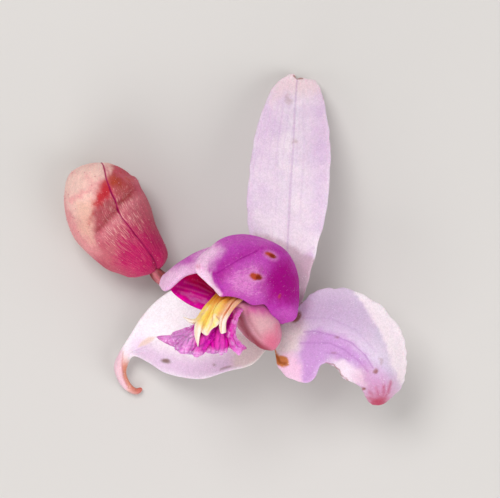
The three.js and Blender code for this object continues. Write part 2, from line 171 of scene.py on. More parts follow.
def grid_normals(grid):
    return unit(np.cross(np.gradient(grid, axis=0), np.gradient(grid, axis=1)))


def smooth_step(x, low=0.0, high=1.0):
    t = np.clip((x - low) / (high - low), 0, 1)
    return t * t * (3 - 2 * t)


def drift(points, size, seed, waves=10):
    """A smooth random field over points, from about -1 to 1, with lumps of the given size."""
    draw = np.random.default_rng(seed)
    headings = unit(draw.normal(size=(waves, np.shape(points)[-1])))
    rates = 2 * math.pi / size * draw.uniform(0.55, 1.4, waves)
    phases = draw.uniform(0, 2 * math.pi, waves)
    return np.sin(points @ (headings * rates[:, None]).T + phases).sum(-1) / math.sqrt(waves)


def wander(points, size, seed):
    """A small random shift, across and down, that makes the edge of a mark uneven."""
    return np.stack([drift(points, size, seed), drift(points, size, seed + 1)], -1)


def hump(x, centre, width):
    """A smooth bump of height 1."""
    return np.exp(-(((x - centre) / width) ** 2))


def round_over(share, least=0.0):
    """A quarter round that rises from 0 to 1."""
    return np.sqrt(np.maximum(1 - (1 - share) ** 2, least))


def radius_at(radii, shares):
    """Radii at shares of a route, smoothed through evenly spaced ones."""
    return curve_at(np.array([[k, r, 0.0] for k, r in enumerate(radii)]), shares)[:, 1]


def runs(grid, axis):
    """Distances along one axis of a grid, from its start and to its end."""
    steps = np.diff(grid, axis=axis, prepend=np.take(grid, [0], axis))
    run = np.cumsum(np.linalg.norm(steps, axis=-1), axis)
    return run, np.take(run, [-1], axis) - run


def quads_of(index):
    """The four corners of each cell in a grid of point numbers."""
    return np.stack([index[:-1, :-1], index[1:, :-1], index[1:, 1:], index[:-1, 1:]], -1)


def strip_of(a, b):
    """Faces between two rows of point numbers."""
    return np.stack([a[:-1], a[1:], b[1:], b[:-1]], -1)


def seen_at(points):
    """Picture places, across and down, of points in millimetres."""
    points = points + TO_ORIGIN
    scale = PLACES_PER_MM * (EYE[2] - PLANE_HEIGHT) / (EYE[2] - points[..., 2])
    across = PICTURE_CENTRE[0] + (points[..., 0] - EYE[0]) * scale
    down = PICTURE_CENTRE[1] - (points[..., 1] - EYE[1]) * scale
    return np.stack([across, down], axis=-1)


def at_place(across, down, height):
    """The point in millimetres that is seen at a picture place, at a height."""
    scale = PLACES_PER_MM * (EYE[2] - PLANE_HEIGHT) / (EYE[2] - height - TO_ORIGIN[2])
    x = EYE[0] + (across - PICTURE_CENTRE[0]) / scale - TO_ORIGIN[0]
    y = EYE[1] - (down - PICTURE_CENTRE[1]) / scale - TO_ORIGIN[1]
    return (x, y, height)


# Marks


def line_distance(places, line):
    """Distance from places to a line of points, and the share of the line that is nearest."""
    best = np.full(places.shape[:-1], 1e9)
    share = np.zeros(places.shape[:-1])
    line = np.asarray(line, float)
    for k, (a, b) in enumerate(zip(line[:-1], line[1:])):
        t = np.clip(((places - a) @ (b - a)) / max(((b - a) ** 2).sum(), 1e-9), 0, 1)
        d = np.linalg.norm(places - (a + t[..., None] * (b - a)), axis=-1)
        share = np.where(d < best, (k + t) / (len(line) - 1), share)
        best = np.minimum(best, d)
    return best, share


def streak(places, line, width, soft=1.0, taper=False):
    """A mark along a line: 1 on it, 0 beyond its half width and soft margin."""
    distance, share = line_distance(places, line)
    half = width / 2 * (np.sin(math.pi * np.clip(share, 0.03, 0.97)) if taper else 1)
    return 1 - smooth_step(distance, half - soft / 2, half + soft / 2)


def spot(places, centre, radii, turn=0.0, soft=0.5):
    """An oval mark, turned by degrees."""
    c, s = math.cos(math.radians(turn)), math.sin(math.radians(turn))
    x, y = places[..., 0] - centre[0], places[..., 1] - centre[1]
    reach = np.hypot((x * c + y * s) / radii[0], (-x * s + y * c) / radii[1])
    return 1 - smooth_step(reach, 1 - soft, 1 + soft)


def patch(places, outline, soft):
    """A mark inside a closed outline, fading over soft places."""
    outline = np.asarray(outline, float)
    distance, _ = line_distance(places, np.vstack([outline, outline[:1]]))
    inside = np.zeros(places.shape[:-1], bool)
    for a, b in zip(outline, np.roll(outline, -1, axis=0)):
        crosses = (a[1] > places[..., 1]) != (b[1] > places[..., 1])
        slope = (b[0] - a[0]) / (b[1] - a[1] if b[1] != a[1] else 1e-9)
        inside ^= crosses & (places[..., 0] < a[0] + slope * (places[..., 1] - a[1]))
    return smooth_step(np.where(inside, distance, -distance), -soft / 2, soft / 2)


def strongest(*masks):
    return np.maximum.reduce(masks)


# Meshes


def place_piece(name, mesh, slot, nodes, masks):
    """A piece from a finished mesh, with painted masks, that rides on the root and stands for CAD nodes."""
    for mask, values in masks.items():
        attribute = mesh.attributes.new(mask, "FLOAT", "POINT")
        attribute.data.foreach_set("value", np.asarray(values, np.float32).ravel())
    piece = bpy.data.objects.new(name, mesh)
    bpy.context.scene.collection.objects.link(piece)
    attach(piece, "root")
    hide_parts(*nodes)
    return piece


def mesh_of(name, points, faces, edges=()):
    """A mesh in metres from points in millimetres."""
    mesh = bpy.data.meshes.new(name)
    mesh.from_pydata(((np.asarray(points) + TO_ORIGIN) * MM).tolist(), edges, faces)
    return mesh


def points_of(mesh):
    """A mesh's points in millimetres."""
    flat = np.zeros(len(mesh.vertices) * 3)
    mesh.vertices.foreach_get("co", flat)
    return flat.reshape(-1, 3) / MM - TO_ORIGIN


def values_of(mesh, name):
    values = np.zeros(len(mesh.vertices), np.float32)
    mesh.attributes[name].data.foreach_get("value", values)
    return values


def make_piece(name, points, faces, slot, nodes, material, masks=None, uv=None):
    """A shaded piece from points and faces, with its own map where it has one."""
    mesh = mesh_of(name, points, faces)
    mesh.shade_smooth()
    if uv is not None:
        layer = mesh.uv_layers.new(name="tissue")
        corners = np.zeros(len(mesh.loops), np.int32)
        mesh.loops.foreach_get("vertex_index", corners)
        layer.data.foreach_set("uv", np.asarray(uv, np.float32)[corners].ravel())
    mesh.materials.append(material)
    return place_piece(name, mesh, slot, nodes, masks or {})


def sheet_faces(index):
    """Faces over a grid. Each corner is cut toward its inner point, so both sides differ there."""
    quads = quads_of(index)
    plain = np.ones(quads.shape[:2], bool)
    plain[[0, 0, -1, -1], [0, -1, 0, -1]] = False
    faces = quads[plain].tolist()
    for row, column, turn in ((0, 0, 0), (0, -1, 1), (-1, 0, 1), (-1, -1, 0)):
        a, b, c, d = np.roll(quads[row, column], -turn).tolist()
        faces += [[a, b, c], [a, c, d]]
    return faces


# Extra shares where a rounded edge begins, at the ends of a blade and at its sides
END_SHARES = [0, 0.0015, 0.005, 0.011]
SIDE_SHARES = [0, 0.004, 0.012, 0.026]


class Sheet:
    """A closed leaf-like sheet over rails that run from its base to its tip.

    u runs along it and v across it. depth is how far a place is from the margin, in millimetres.
    """

    def __init__(self, rails, along, across, wave=None, reshape=None):
        u, v = close_ended(along, END_SHARES), close_ended(across, SIDE_SHARES)
        lines = [curve_at(rail, u) for rail in rails]
        grid = np.moveaxis(curve_at(np.array(lines), v), 0, 1)
        self.ug, self.vg = np.meshgrid(u, v, indexing="ij")
        if reshape:
            grid = reshape(self, grid)
        self.lift = wave(self.ug, self.vg, grid) if wave else np.zeros_like(self.ug)
        grid = grid + grid_normals(grid) * self.lift[..., None]
        self.grid = grid
        self.normals = grid_normals(grid)
        across_run, to_side = runs(grid, 1)
        self.width = across_run[:, -1:]
        self.side_depth = np.minimum(across_run, to_side)
        self.depth = np.minimum(self.side_depth, np.minimum(*runs(grid, 0)))

    def body(self, thickness, margin_share=0.5, top_relief=0.0, under_relief=0.0):
        """Points, faces, and each point's u, v, depth, lift and side, which is 1 on top and 0 below."""
        rise = smooth_step(self.side_depth / np.maximum(self.width, 1e-6), 0, 0.4)
        full = thickness * (margin_share + (1 - margin_share) * rise)
        half = full / 2 * round_over(np.clip(self.depth / (0.55 * thickness), 0, 1))
        fade = smooth_step(self.depth, 0, thickness)
        above = self.grid + self.normals * (half + fade * top_relief)[..., None]
        below = self.grid - self.normals * (half + fade * under_relief)[..., None]
        rows, columns = self.depth.shape
        upper = np.arange(rows * columns).reshape(rows, columns)
        inner = np.zeros((rows, columns), bool)
        inner[1:-1, 1:-1] = True
        lower = upper.copy()
        lower[inner] = rows * columns + np.arange(inner.sum())
        faces = sheet_faces(upper) + [face[::-1] for face in sheet_faces(lower)]
        points = np.vstack([above.reshape(-1, 3), below[inner]])
        about = {"u": self.ug, "v": self.vg, "depth": self.depth, "lift": self.lift}
        about = {key: np.concatenate([values.ravel(), values[inner]]) for key, values in about.items()}
        about["side"] = np.concatenate([np.where(inner, 1.0, 0.5).ravel(), np.zeros(inner.sum())])
        return points, faces, about


def sheet_piece(name, sheet, thickness, slot, nodes, material, marks, margin_share=0.5, **relief):
    """A piece from one sheet, with its marks painted by where they are seen from above."""
    points, faces, about = sheet.body(thickness, margin_share, **relief)
    masks = marks(points, seen_at(points), about)
    uv = np.stack([about["v"], about["u"]], -1)
    return make_piece(name, points, faces, slot, nodes, material, masks, uv)


ROUTE_SAMPLES = 400
CAP_SHARES = np.array([0, 0.02, 0.08, 0.2, 0.4, 0.65])


def route_mesh(name, routes):
    """Lines with a radius at each point. routes holds (stations, radii, rings, rounded at start, at end)."""
    places, radius, edges = [], [], []
    for stations, radii, rings, round_start, round_end in routes:
        fine = curve_at(stations, np.linspace(0, 1, ROUTE_SAMPLES))
        run = runs(fine, 0)[0]
        steps = np.linspace(0, run[-1], rings)
        if round_start:
            steps = np.concatenate([CAP_SHARES * radii[0], steps[steps > radii[0]]])
        if round_end:
            cap = run[-1] - CAP_SHARES[::-1] * radii[-1]
            steps = np.concatenate([steps[steps < run[-1] - radii[-1]], cap])
        size = radius_at(radii, steps / run[-1])
        for rounded, gap, end in ((round_start, steps, radii[0]), (round_end, run[-1] - steps, radii[-1])):
            if rounded:
                size = size * round_over(np.minimum(gap / end, 1), 1e-4)
        start = sum(len(part) for part in places)
        edges += [(start + k, start + k + 1) for k in range(len(steps) - 1)]
        places.append(np.stack([np.interp(steps, run, fine[:, k]) for k in range(3)], -1))
        radius.append(size)
    mesh = mesh_of(name, np.vstack(places), [], edges)
    attribute = mesh.attributes.new("radius", "FLOAT", "POINT")
    attribute.data.foreach_set("value", (np.concatenate(radius) * MM).astype(np.float32))
    return mesh


# Node groups


class Wiring:
    """Short calls that add nodes to a tree and join them."""

    def __init__(self, tree):
        self.tree = tree
        self.given = None
        self.out = None

    def put(self, socket, value):
        if isinstance(value, bpy.types.NodeSocket):
            self.tree.links.new(value, socket)
        elif value is not None:
            socket.default_value = value

    def node(self, kind, settings=None, **values):
        made = self.tree.nodes.new(kind)
        for key, value in (settings or {}).items():
            setattr(made, key, value)
        for key, value in values.items():
            self.put(made.inputs[key.replace("_", " ")], value)
        return made

    def filled(self, kind, settings, *values):
        """A node whose inputs are filled in their own order."""
        made = self.node(kind, settings)
        for socket, value in zip(made.inputs, values):
            self.put(socket, value)
        return made.outputs[0]

    def math(self, operation, *values, clamp=False):
        return self.filled("ShaderNodeMath", {"operation": operation, "use_clamp": clamp}, *values)

    def times(self, first, second):
        return self.math("MULTIPLY", first, second)

    def ramp(self, value, low, high, to_low=0.0, to_high=1.0):
        settings = {"interpolation_type": "SMOOTHSTEP"}
        return self.filled("ShaderNodeMapRange", settings, value, low, high, to_low, to_high)

    def mix(self, share, first, second):
        made = self.node("ShaderNodeMix", {"data_type": "RGBA"}, Factor=share)
        colours_in = [socket for socket in made.inputs if socket.type == "RGBA"]
        for socket, value in zip(colours_in, (first, second)):
            self.put(socket, value)
        return next(socket for socket in made.outputs if socket.type == "RGBA")

    def scaled(self, vector, by):
        made = self.node("ShaderNodeVectorMath", {"operation": "SCALE"}, Scale=by)
        self.put(made.inputs[0], vector)
        return made.outputs[0]

    def place(self):
        return self.node("ShaderNodeTexCoord").outputs["Object"]

    def chart(self):
        return self.node("ShaderNodeUVMap", {"uv_map": "tissue"}).outputs["UV"]

    def noise(self, place, rate, **values):
        return self.node("ShaderNodeTexNoise", Vector=place, Scale=rate, **values).outputs["Fac"]

    def attribute(self, name):
        return self.node("ShaderNodeAttribute", {"attribute_name": name}).outputs["Fac"]

    def named(self, name):
        return self.node("GeometryNodeInputNamedAttribute", Name=name).outputs[0]

    def group(self, name, **values):
        return self.node("ShaderNodeGroup", {"node_tree": shared_group(name)}, **values).outputs

    def geometry(self, kind, **values):
        return self.node("GeometryNode" + kind, **values).outputs[0]


def new_group(name, inputs, outputs, kind="ShaderNodeTree"):
    """The wiring of a new node group. A socket without a default is of the kind that its label names."""
    group = bpy.data.node_groups.new(name, kind)
    for label, value in inputs.items():
        socket_kind = {float: "Float", int: "Int"}.get(type(value), label)
        socket = group.interface.new_socket(label, in_out="INPUT", socket_type="NodeSocket" + socket_kind)
        if value is not None:
            socket.default_value = value
    for label in outputs:
        socket_kind = "Geometry" if label == "Geometry" else "Float"
        group.interface.new_socket(label, in_out="OUTPUT", socket_type="NodeSocket" + socket_kind)
    w = Wiring(group)
    w.given = group.nodes.new("NodeGroupInput").outputs
    w.out = group.nodes.new("NodeGroupOutput").inputs
    return w


GLINT_PATCHES = 1400.0
VEIN_BENDS = 330.0
VEIN_GAPS = 160.0


def glisten_group():
    """The skin's small domed cells, a few of which carry painted glints."""
    w = new_group("glistening_cells", {"Cell Size": 0.00014, "Share": 0.06}, ["Glint", "Height", "Tone"])
    place = w.place()
    rate = w.math("DIVIDE", 1.0, w.given["Cell Size"])
    cells = w.node("ShaderNodeTexVoronoi", {"feature": "F1"}, Vector=place, Scale=rate, Randomness=0.9)
    cells = cells.outputs
    split = w.node("ShaderNodeSeparateColor", Color=cells["Color"])
    chosen = w.math("GREATER_THAN", split.outputs[0], w.math("SUBTRACT", 1.0, w.given["Share"]))
    small = w.ramp(cells["Distance"], 0.5, 0.12)
    often = w.ramp(w.noise(place, GLINT_PATCHES, Detail=2.0), 0.42, 0.62)
    w.put(w.out["Glint"], w.times(w.times(chosen, small), often))
    w.put(w.out["Height"], w.ramp(cells["Distance"], 0.55, 0.0))
    w.put(w.out["Tone"], split.outputs[1])
    return w.tree


def vein_group():
    """Fine veins along a blade that wander and fade, from its own map."""
    w = new_group("blade_veins", {"Veins": 14.0, "Width": 0.16, "Wander": 0.5}, ["Vein", "Height"])
    place = w.place()
    across = w.node("ShaderNodeSeparateXYZ", Vector=w.chart()).outputs["X"]
    bends = w.noise(place, VEIN_BENDS, Detail=3.0, Roughness=0.6)
    shift = w.times(w.math("SUBTRACT", bends, 0.5), w.given["Wander"])
    lane = w.math("ADD", w.times(across, w.given["Veins"]), shift)
    off = w.math("ABSOLUTE", w.math("SUBTRACT", w.math("FRACT", lane), 0.5))
    line = w.ramp(off, w.given["Width"], 0.0)
    shown = w.ramp(w.noise(place, VEIN_GAPS, Detail=2.0), 0.35, 0.65)
    w.put(w.out["Vein"], w.times(line, shown))
    w.put(w.out["Height"], line)
    return w.tree


def ragged_group():
    """A painted mask with a natural, slightly ragged edge."""
    inputs = {"Mask": 0.0, "Raggedness": 0.35, "Lump Size": 0.0004, "Strength": 1.0}
    w = new_group("ragged_edge", inputs, ["Mask"])
    mask = w.given["Mask"]
    lumps = w.noise(w.place(), w.math("DIVIDE", 1.0, w.given["Lump Size"]), Detail=3.0, Roughness=0.6)
    push = w.times(w.math("SUBTRACT", lumps, 0.5), w.given["Raggedness"])
    edge = w.times(w.times(mask, w.math("SUBTRACT", 1.0, mask)), 8.0)
    moved = w.math("ADD", mask, w.times(push, edge))
    w.put(w.out["Mask"], w.math("MULTIPLY", moved, w.given["Strength"], clamp=True))
    return w.tree


def fleck_group():
    """Short flecks that run along a blade, closer together where the mask is stronger."""
    inputs = {"Mask": 0.0, "Lanes": 60.0, "Rows": 12.0, "Strength": 1.0}
    w = new_group("lengthwise_flecks", inputs, ["Mask"])
    rates = w.node("ShaderNodeCombineXYZ", X=w.given["Lanes"], Y=w.given["Rows"], Z=1.0).outputs[0]
    stretched = w.filled("ShaderNodeVectorMath", {"operation": "MULTIPLY"}, w.chart(), rates)
    noise = w.noise(stretched, 1.0, Detail=3.0, Roughness=0.6)
    level = w.math("SUBTRACT", 0.74, w.times(w.given["Mask"], 0.42))
    flecks = w.ramp(noise, level, w.math("ADD", level, 0.1))
    w.put(w.out["Mask"], w.math("MULTIPLY", flecks, w.given["Strength"], clamp=True))
    return w.tree


def mottle_group():
    """Soft clouds and fine grain that vary a colour's tone."""
    w = new_group("mottle", {"Cloud Size": 0.003, "Grain Size": 0.0003}, ["Cloud", "Grain"])
    place = w.place()
    for label, low, high in (("Cloud", 0.32, 0.68), ("Grain", 0.25, 0.75)):
        rate = w.math("DIVIDE", 1.0, w.given[label + " Size"])
        w.put(w.out[label], w.ramp(w.noise(place, rate, Detail=4.0, Roughness=0.65), low, high))
    return w.tree


def stalk_group():
    """A ribbed stalk along lines that carry a radius."""
    inputs = {"Geometry": None, "Sides": 48, "Ribs": 6, "Rib Depth": 0.08, "Material": None}
    w = new_group("ribbed_stalk", inputs, ["Geometry"], "GeometryNodeTree")
    line = w.geometry("MeshToCurve", Mesh=w.given["Geometry"])
    share = w.node("GeometryNodeSplineParameter").outputs["Factor"]
    line = w.geometry("StoreNamedAttribute", Geometry=line, Name="along", Value=share)
    ring = w.geometry("CurvePrimitiveCircle", Resolution=w.given["Sides"], Radius=1.0)
    turn = w.times(w.math("DIVIDE", w.geometry("InputIndex"), w.given["Sides"]), 2 * math.pi)
    wave = w.math("COSINE", w.times(turn, w.given["Ribs"]))
    reach = w.math("ADD", 1.0, w.times(wave, w.given["Rib Depth"]))
    ring = w.geometry("SetPosition", Geometry=ring, Position=w.scaled(w.geometry("InputPosition"), reach))
    # The hollows between the ribs are stored for painted shade.
    hollow = w.math("SUBTRACT", 0.5, w.times(wave, 0.5))
    ring = w.geometry("StoreNamedAttribute", Geometry=ring, Name="groove", Value=hollow)
    body = w.geometry("CurveToMesh", Curve=line, Profile_Curve=ring, Scale=w.named("radius"), Fill_Caps=True)
    smooth = w.geometry("SetShadeSmooth", Geometry=body)
    real = w.geometry("RealizeInstances", Geometry=smooth)
    w.put(w.out[0], w.geometry("SetMaterial", Geometry=real, Material=w.given["Material"]))
    return w.tree


def bead_group():
    """Small beads that stand on a surface, closer together where its beaded mask is stronger."""
    sizing = {"Density": 1e6, "Bead Size": 0.00004, "Stretch": 1.5, "Seed": 1}
    inputs = {"Geometry": None, **sizing, "Material": None}
    w = new_group("surface_beads", inputs, ["Geometry"], "GeometryNodeTree")
    seed = w.given["Seed"]
    often = w.times(w.named("beaded"), w.given["Density"])
    surface = w.given["Geometry"]
    spread = w.node("GeometryNodeDistributePointsOnFaces", Mesh=surface, Density=often, Seed=seed)
    bead = w.geometry("MeshIcoSphere", Radius=w.given["Bead Size"], Subdivisions=1)
    luck = w.node("FunctionNodeRandomValue", Seed=seed)
    for socket, value in ((luck.inputs[2], 0.55), (luck.inputs[3], 1.25)):
        w.put(socket, value)
    size = w.node("ShaderNodeCombineXYZ", X=1.0, Y=1.0, Z=w.given["Stretch"])
    placed = w.geometry(
        "InstanceOnPoints", Points=spread.outputs["Points"], Instance=bead,
        Rotation=spread.outputs["Rotation"], Scale=w.scaled(size.outputs[0], luck.outputs[1]),
    )
    real = w.geometry("RealizeInstances", Geometry=placed)
    smooth = w.geometry("SetShadeSmooth", Geometry=real)
    w.put(w.out[0], w.geometry("SetMaterial", Geometry=smooth, Material=w.given["Material"]))
    return w.tree


GROUPS = {}
GROUP_MAKERS = {
    "stalk": stalk_group,
    "beads": bead_group,
    "cells": glisten_group,
    "veins": vein_group,
    "ragged": ragged_group,
    "flecks": fleck_group,
    "mottle": mottle_group,
}


def shared_group(name):
    if name not in GROUPS:
        GROUPS[name] = GROUP_MAKERS[name]()
    return GROUPS[name]


def grow(name, start, group, **values):
    """The plain mesh that a Geometry Nodes group makes from a starting mesh."""
    seed = bpy.data.objects.new(name + "_start", start)
    bpy.context.scene.collection.objects.link(seed)
    modifier = seed.modifiers.new("grow", "NODES")
    modifier.node_group = shared_group(group)
    for socket in modifier.node_group.interface.items_tree:
        key = socket.name.replace(" ", "_")
        if socket.in_out == "INPUT" and key in values:
            modifier[socket.identifier] = values[key]
    graph = bpy.context.evaluated_depsgraph_get()
    grown = seed.evaluated_get(graph)
    mesh = bpy.data.meshes.new_from_object(grown, preserve_all_data_layers=True, depsgraph=graph)
    mesh.name = name
    seed.modifiers.clear()
    bpy.data.objects.remove(seed)
    bpy.data.meshes.remove(start)
    return mesh


def ribbed(name, routes, sides, ribs, depth, skin):
    """Ribbed stalks along routes."""
    lines = route_mesh(name + "_lines", routes)
    return grow(name, lines, "stalk", Sides=sides, Ribs=ribs, Rib_Depth=depth, Material=skin)


def bead_piece(name, surface, worn, slot, nodes, **values):
    """Beads strewn over a surface, where its worn mask is above 0."""
    beaded = surface.attributes.new("beaded", "FLOAT", "POINT")
    beaded.data.foreach_set("value", np.asarray(worn, np.float32))
    place_piece(name, grow(name, surface, "beads", **values), slot, nodes, {})


def rgba(colour):
    """A colour with its alpha, from the name of a colour setting or from a display code."""
    linear = getattr(colours(), colour) if isinstance(colour, str) else colour_of(colour)
    return (*linear, 1.0)


GLINT_COLOUR = (1.0, 0.97, 1.0, 1.0)
RELIEF_HEIGHT = 0.00004
VEIN_DEPTH = 1.6
FLECK_HEIGHT = 0.8
SCATTER_REACH = (1.0, 0.6, 0.75)
SCATTER_SIZE = 0.0006


def tissue(name, base, second, layers, *, veins=None, roughness=0.42, glints=0.05, grain=0.08,
           soft=0.4, bump=0.3, gloss=0.16, shine=0.3):
    """A living skin: clouds of two tones, veins, painted layers, glistening cells with painted glints, and
    their relief.
    """
    material = bpy.data.materials.new(name)
    material.use_nodes = True
    material.node_tree.nodes.clear()
    w = Wiring(material.node_tree)
    cells = w.group("cells", Cell_Size=sizes().cell_size, Share=glints)
    mottle = w.group("mottle")
    colour = w.mix(mottle["Cloud"], rgba(base), rgba(second))
    relief = cells["Height"]
    if veins:
        count, vein_colour, strength, width = veins
        lines = w.group("veins", Veins=count, Width=width)
        colour = w.mix(w.times(lines["Vein"], strength), colour, rgba(vein_colour))
        relief = w.math("SUBTRACT", relief, w.times(lines["Height"], VEIN_DEPTH * strength))
    for mask, layer_colour, strength, *texture in layers:
        painted = {"Mask": w.attribute(mask), "Strength": strength}
        if len(texture) == 2:
            share = w.group("flecks", Lanes=texture[0], Rows=texture[1], **painted)["Mask"]
            relief = w.math("ADD", relief, w.times(share, FLECK_HEIGHT))
        else:
            share = w.group("ragged", Raggedness=texture[0], **painted)["Mask"]
        colour = w.mix(share, colour, rgba(layer_colour))
    tone = w.math("ADD", w.times(cells["Tone"], 0.6), w.times(mottle["Grain"], 0.4))
    light = w.ramp(tone, 0.1, 0.9, 1 - grain, 1 + grain * 0.6)
    # The glints are painted highlights: near-white mixed into the colour.
    colour = w.mix(w.times(cells["Glint"], shine), w.scaled(colour, light), GLINT_COLOUR)
    dull = w.ramp(mottle["Grain"], 0, 1, roughness, roughness + 0.12)
    rough = w.math("SUBTRACT", dull, w.times(cells["Glint"], 0.25))
    bumped = w.node("ShaderNodeBump", Height=relief, Strength=bump, Distance=RELIEF_HEIGHT)
    shader = w.node(
        "ShaderNodeBsdfPrincipled", Base_Color=colour, Roughness=rough, Normal=bumped.outputs[0],
        Subsurface_Weight=soft, Subsurface_Radius=SCATTER_REACH, Subsurface_Scale=SCATTER_SIZE,
        Specular_IOR_Level=gloss,
    )
    w.node("ShaderNodeOutputMaterial", Surface=shader.outputs[0])
    return material


def skin_of(name):
    (base, second), layers, settings = SKINS[name]
    return tissue(name, base, second, layers, **settings)


# Rails and routes, base to tip, in millimetres: the same ones as the solids

BACK_SEPAL_RAILS = [
    [from_hub(0, -1, 1.5), (3.8, -5.1, 6.9), (1.9, -1.1, 8.8), (1.3, 2.8, 8.6), (1.5, 6.8, 7.6),
     (2.2, 10.9, 5.6), (3.2, 14.1, 3.6), (4.1, 15.8, 2.1), (5.4, 16.9, 1)],
    [from_hub(0.1, 0, 1.4), (5.3, -5.1, 7.2), (5.1, -1.1, 7.9), (5.3, 3, 7.5), (5.5, 7, 6.3),
     (5.9, 11.1, 4.4), (6.2, 14.3, 2.3), (6.4, 15.7, 1.1), (6.6, 16.6, 0.3)],
    [from_hub(-0.2, 1, 1.2), (7.2, -5.1, 7.5), (8.3, -1.1, 8.5), (9.3, 3, 8.2), (9.7, 7.5, 7),
     (9.6, 11.1, 5.1), (9.1, 14.2, 3.2), (8.8, 15.6, 1.9), (8.3, 16.4, 0.9)],
]
RIGHT_SEPAL_RAILS = [
    [(4.75, -8.1, 8.2), (7, -6.2, 8.3), (8, -5.2, 8.5), (9.6, -4.9, 8.8), (11.4, -4.9, 9.2),
     (13.2, -5.65, 9.5), (15.1, -7, 9.6), (16.75, -9.3, 9.3), (17.35, -12.3, 8.6), (16.75, -15, 7.4),
     (15.4, -16.35, 6.9)],
    [(4.25, -9.4, 8.2), (5.8, -9.8, 8.8), (7, -9.6, 9.5), (8.4, -9.2, 10.3), (9.8, -9.1, 11),
     (11.4, -9.4, 11.4), (12.8, -10.3, 11.6), (14.1, -11.8, 11.2), (14.9, -13.9, 10), (15.1, -15.5, 8.5),
     (14.6, -16.6, 7.1)],
    [from_hub(1.1, -0.2, -2.6), (4.5, -12.9, 8.8), (5.8, -14, 9.3), (7.8, -14.1, 9.8), (8.8, -12.4, 10.3),
     (9.8, -12.6, 10.8), (10.9, -13.8, 10.8), (12.4, -14.5, 10), (12.95, -15.3, 8.7), (13.45, -16.1, 7.6),
     (13.9, -16.6, 7.2)],
]
LEFT_SEPAL_RAILS = [
    [from_hub(0.2, -1.6, 0.2), (1.6, -6.7, 5.9), (-0.9, -5.5, 5.8), (-3.5, -4.9, 5), (-5.8, -4.9, 4.2),
     (-7.8, -6.1, 3.6), (-9.4, -7.8, 3), (-10.7, -9.8, 2.6), (-11.7, -11.4, 2.2), (-12.3, -12.9, 1.9),
     (-11.9, -14.5, 1.3), (-11.1, -15.5, 0.8), (-10.1, -15.9, 0.5), (-9.3, -15.5, 0.5)],
    [from_hub(0.2, -1.8, -1.2), (1.6, -9.7, 6), (-0.8, -9.5, 5.2), (-3.3, -9.4, 4.3), (-5.5, -9.6, 3.5),
     (-7.5, -10.1, 2.8), (-9, -10.9, 2.2), (-10.4, -11.5, 1.9), (-11.3, -12, 2.2), (-11.8, -13.1, 2.2),
     (-11.5, -14.3, 1.6), (-10.9, -15.2, 1), (-10.1, -15.6, 0.6), (-9.5, -15.3, 0.5)],
    [from_hub(0.25, -2, -2.7), (1.8, -12.6, 6.6), (-0.6, -13.3, 6), (-3.2, -14.1, 5.2), (-5.2, -14, 4.4),
     (-7.2, -13.5, 3.6), (-8.8, -12.5, 3), (-10.2, -11.9, 2.4), (-10.8, -12.5, 1.6), (-11.1, -13.5, 1.4),
     (-10.9, -14.4, 0.9), (-10.5, -15, 0.6), (-10, -15.3, 0.35), (-9.6, -15.1, 0.4)],
]
NEAR_PETAL_RAILS = [
    [from_hub(1.9, 1, 0.3), (4.55, -8.35, 11.3), (3.7, -7.45, 13.6), (3, -6.4, 15), (1.8, -6.4, 16.2),
     (0.7, -5.8, 17), (-0.3, -5.55, 17.6), (-1.3, -5.55, 17.8)],
    [from_hub(1.75, 1.1, 0.6), (5.85, -7.7, 10.9), (5, -6.2, 14), (3.8, -4.6, 16), (2.2, -3.9, 17.6),
     (0.8, -4, 18.2), (-0.7, -4.2, 18.6), (-2.15, -4.75, 18.3)],
    [from_hub(1.6, 1.15, 0.9), (6.2, -6.5, 10.8), (5.8, -4.5, 13), (4.6, -2.3, 15), (2.7, -1, 16.6),
     (0.9, -1.8, 18), (-0.7, -2.7, 18.6), (-2.95, -3.95, 18.1)],
    [from_hub(1.5, 1.1, 1.2), (6.1, -5.4, 9.8), (6.1, -3.6, 11), (5, -1.5, 13), (3, -0.2, 14.4),
     (0.7, 0.2, 15.4), (-1.2, -0.3, 16.2), (-3.75, -3, 17.4)],
    [from_hub(1.4, 0.95, 1.5), (5.9, -5, 8.7), (5.5, -2.6, 9.4), (4.4, -0.8, 10.4), (2.2, -0.1, 11.8),
     (0, -0.1, 13), (-1.9, -0.8, 14.4), (-3.9, -2.2, 16.4)],
]
FAR_PETAL_RAILS = [
    [from_hub(1.15, -0.9, 1.6), (4.7, -5, 9.4), (3.7, -2.5, 11.4), (2.1, -1.2, 12), (0.2, -1.1, 12.9),
     (-1.7, -1.8, 14.1), (-3, -3.2, 15)],
    [from_hub(1.2, -1.35, 1.2), (3.5, -5.1, 8.4), (2.6, -2.5, 10.6), (0.7, -1, 11.9), (-1.7, -0.9, 12.9),
     (-3.5, -1.8, 14.5), (-4.9, -3.7, 15)],
    [from_hub(1.3, -1.5, 0.7), (2.7, -6.1, 7.3), (1.6, -3.7, 9.2), (-0.8, -2.2, 10.6), (-3.4, -1.7, 12),
     (-5.5, -2.6, 13.4), (-6.75, -5.05, 14)],
    [from_hub(1.4, -1.6, 0.1), (2.3, -7.3, 7.1), (0.6, -5.7, 8), (-1.4, -4.4, 9.5), (-4, -3.4, 10.6),
     (-6.95, -3.7, 11.7), (-7.35, -4.6, 12.3)],
]
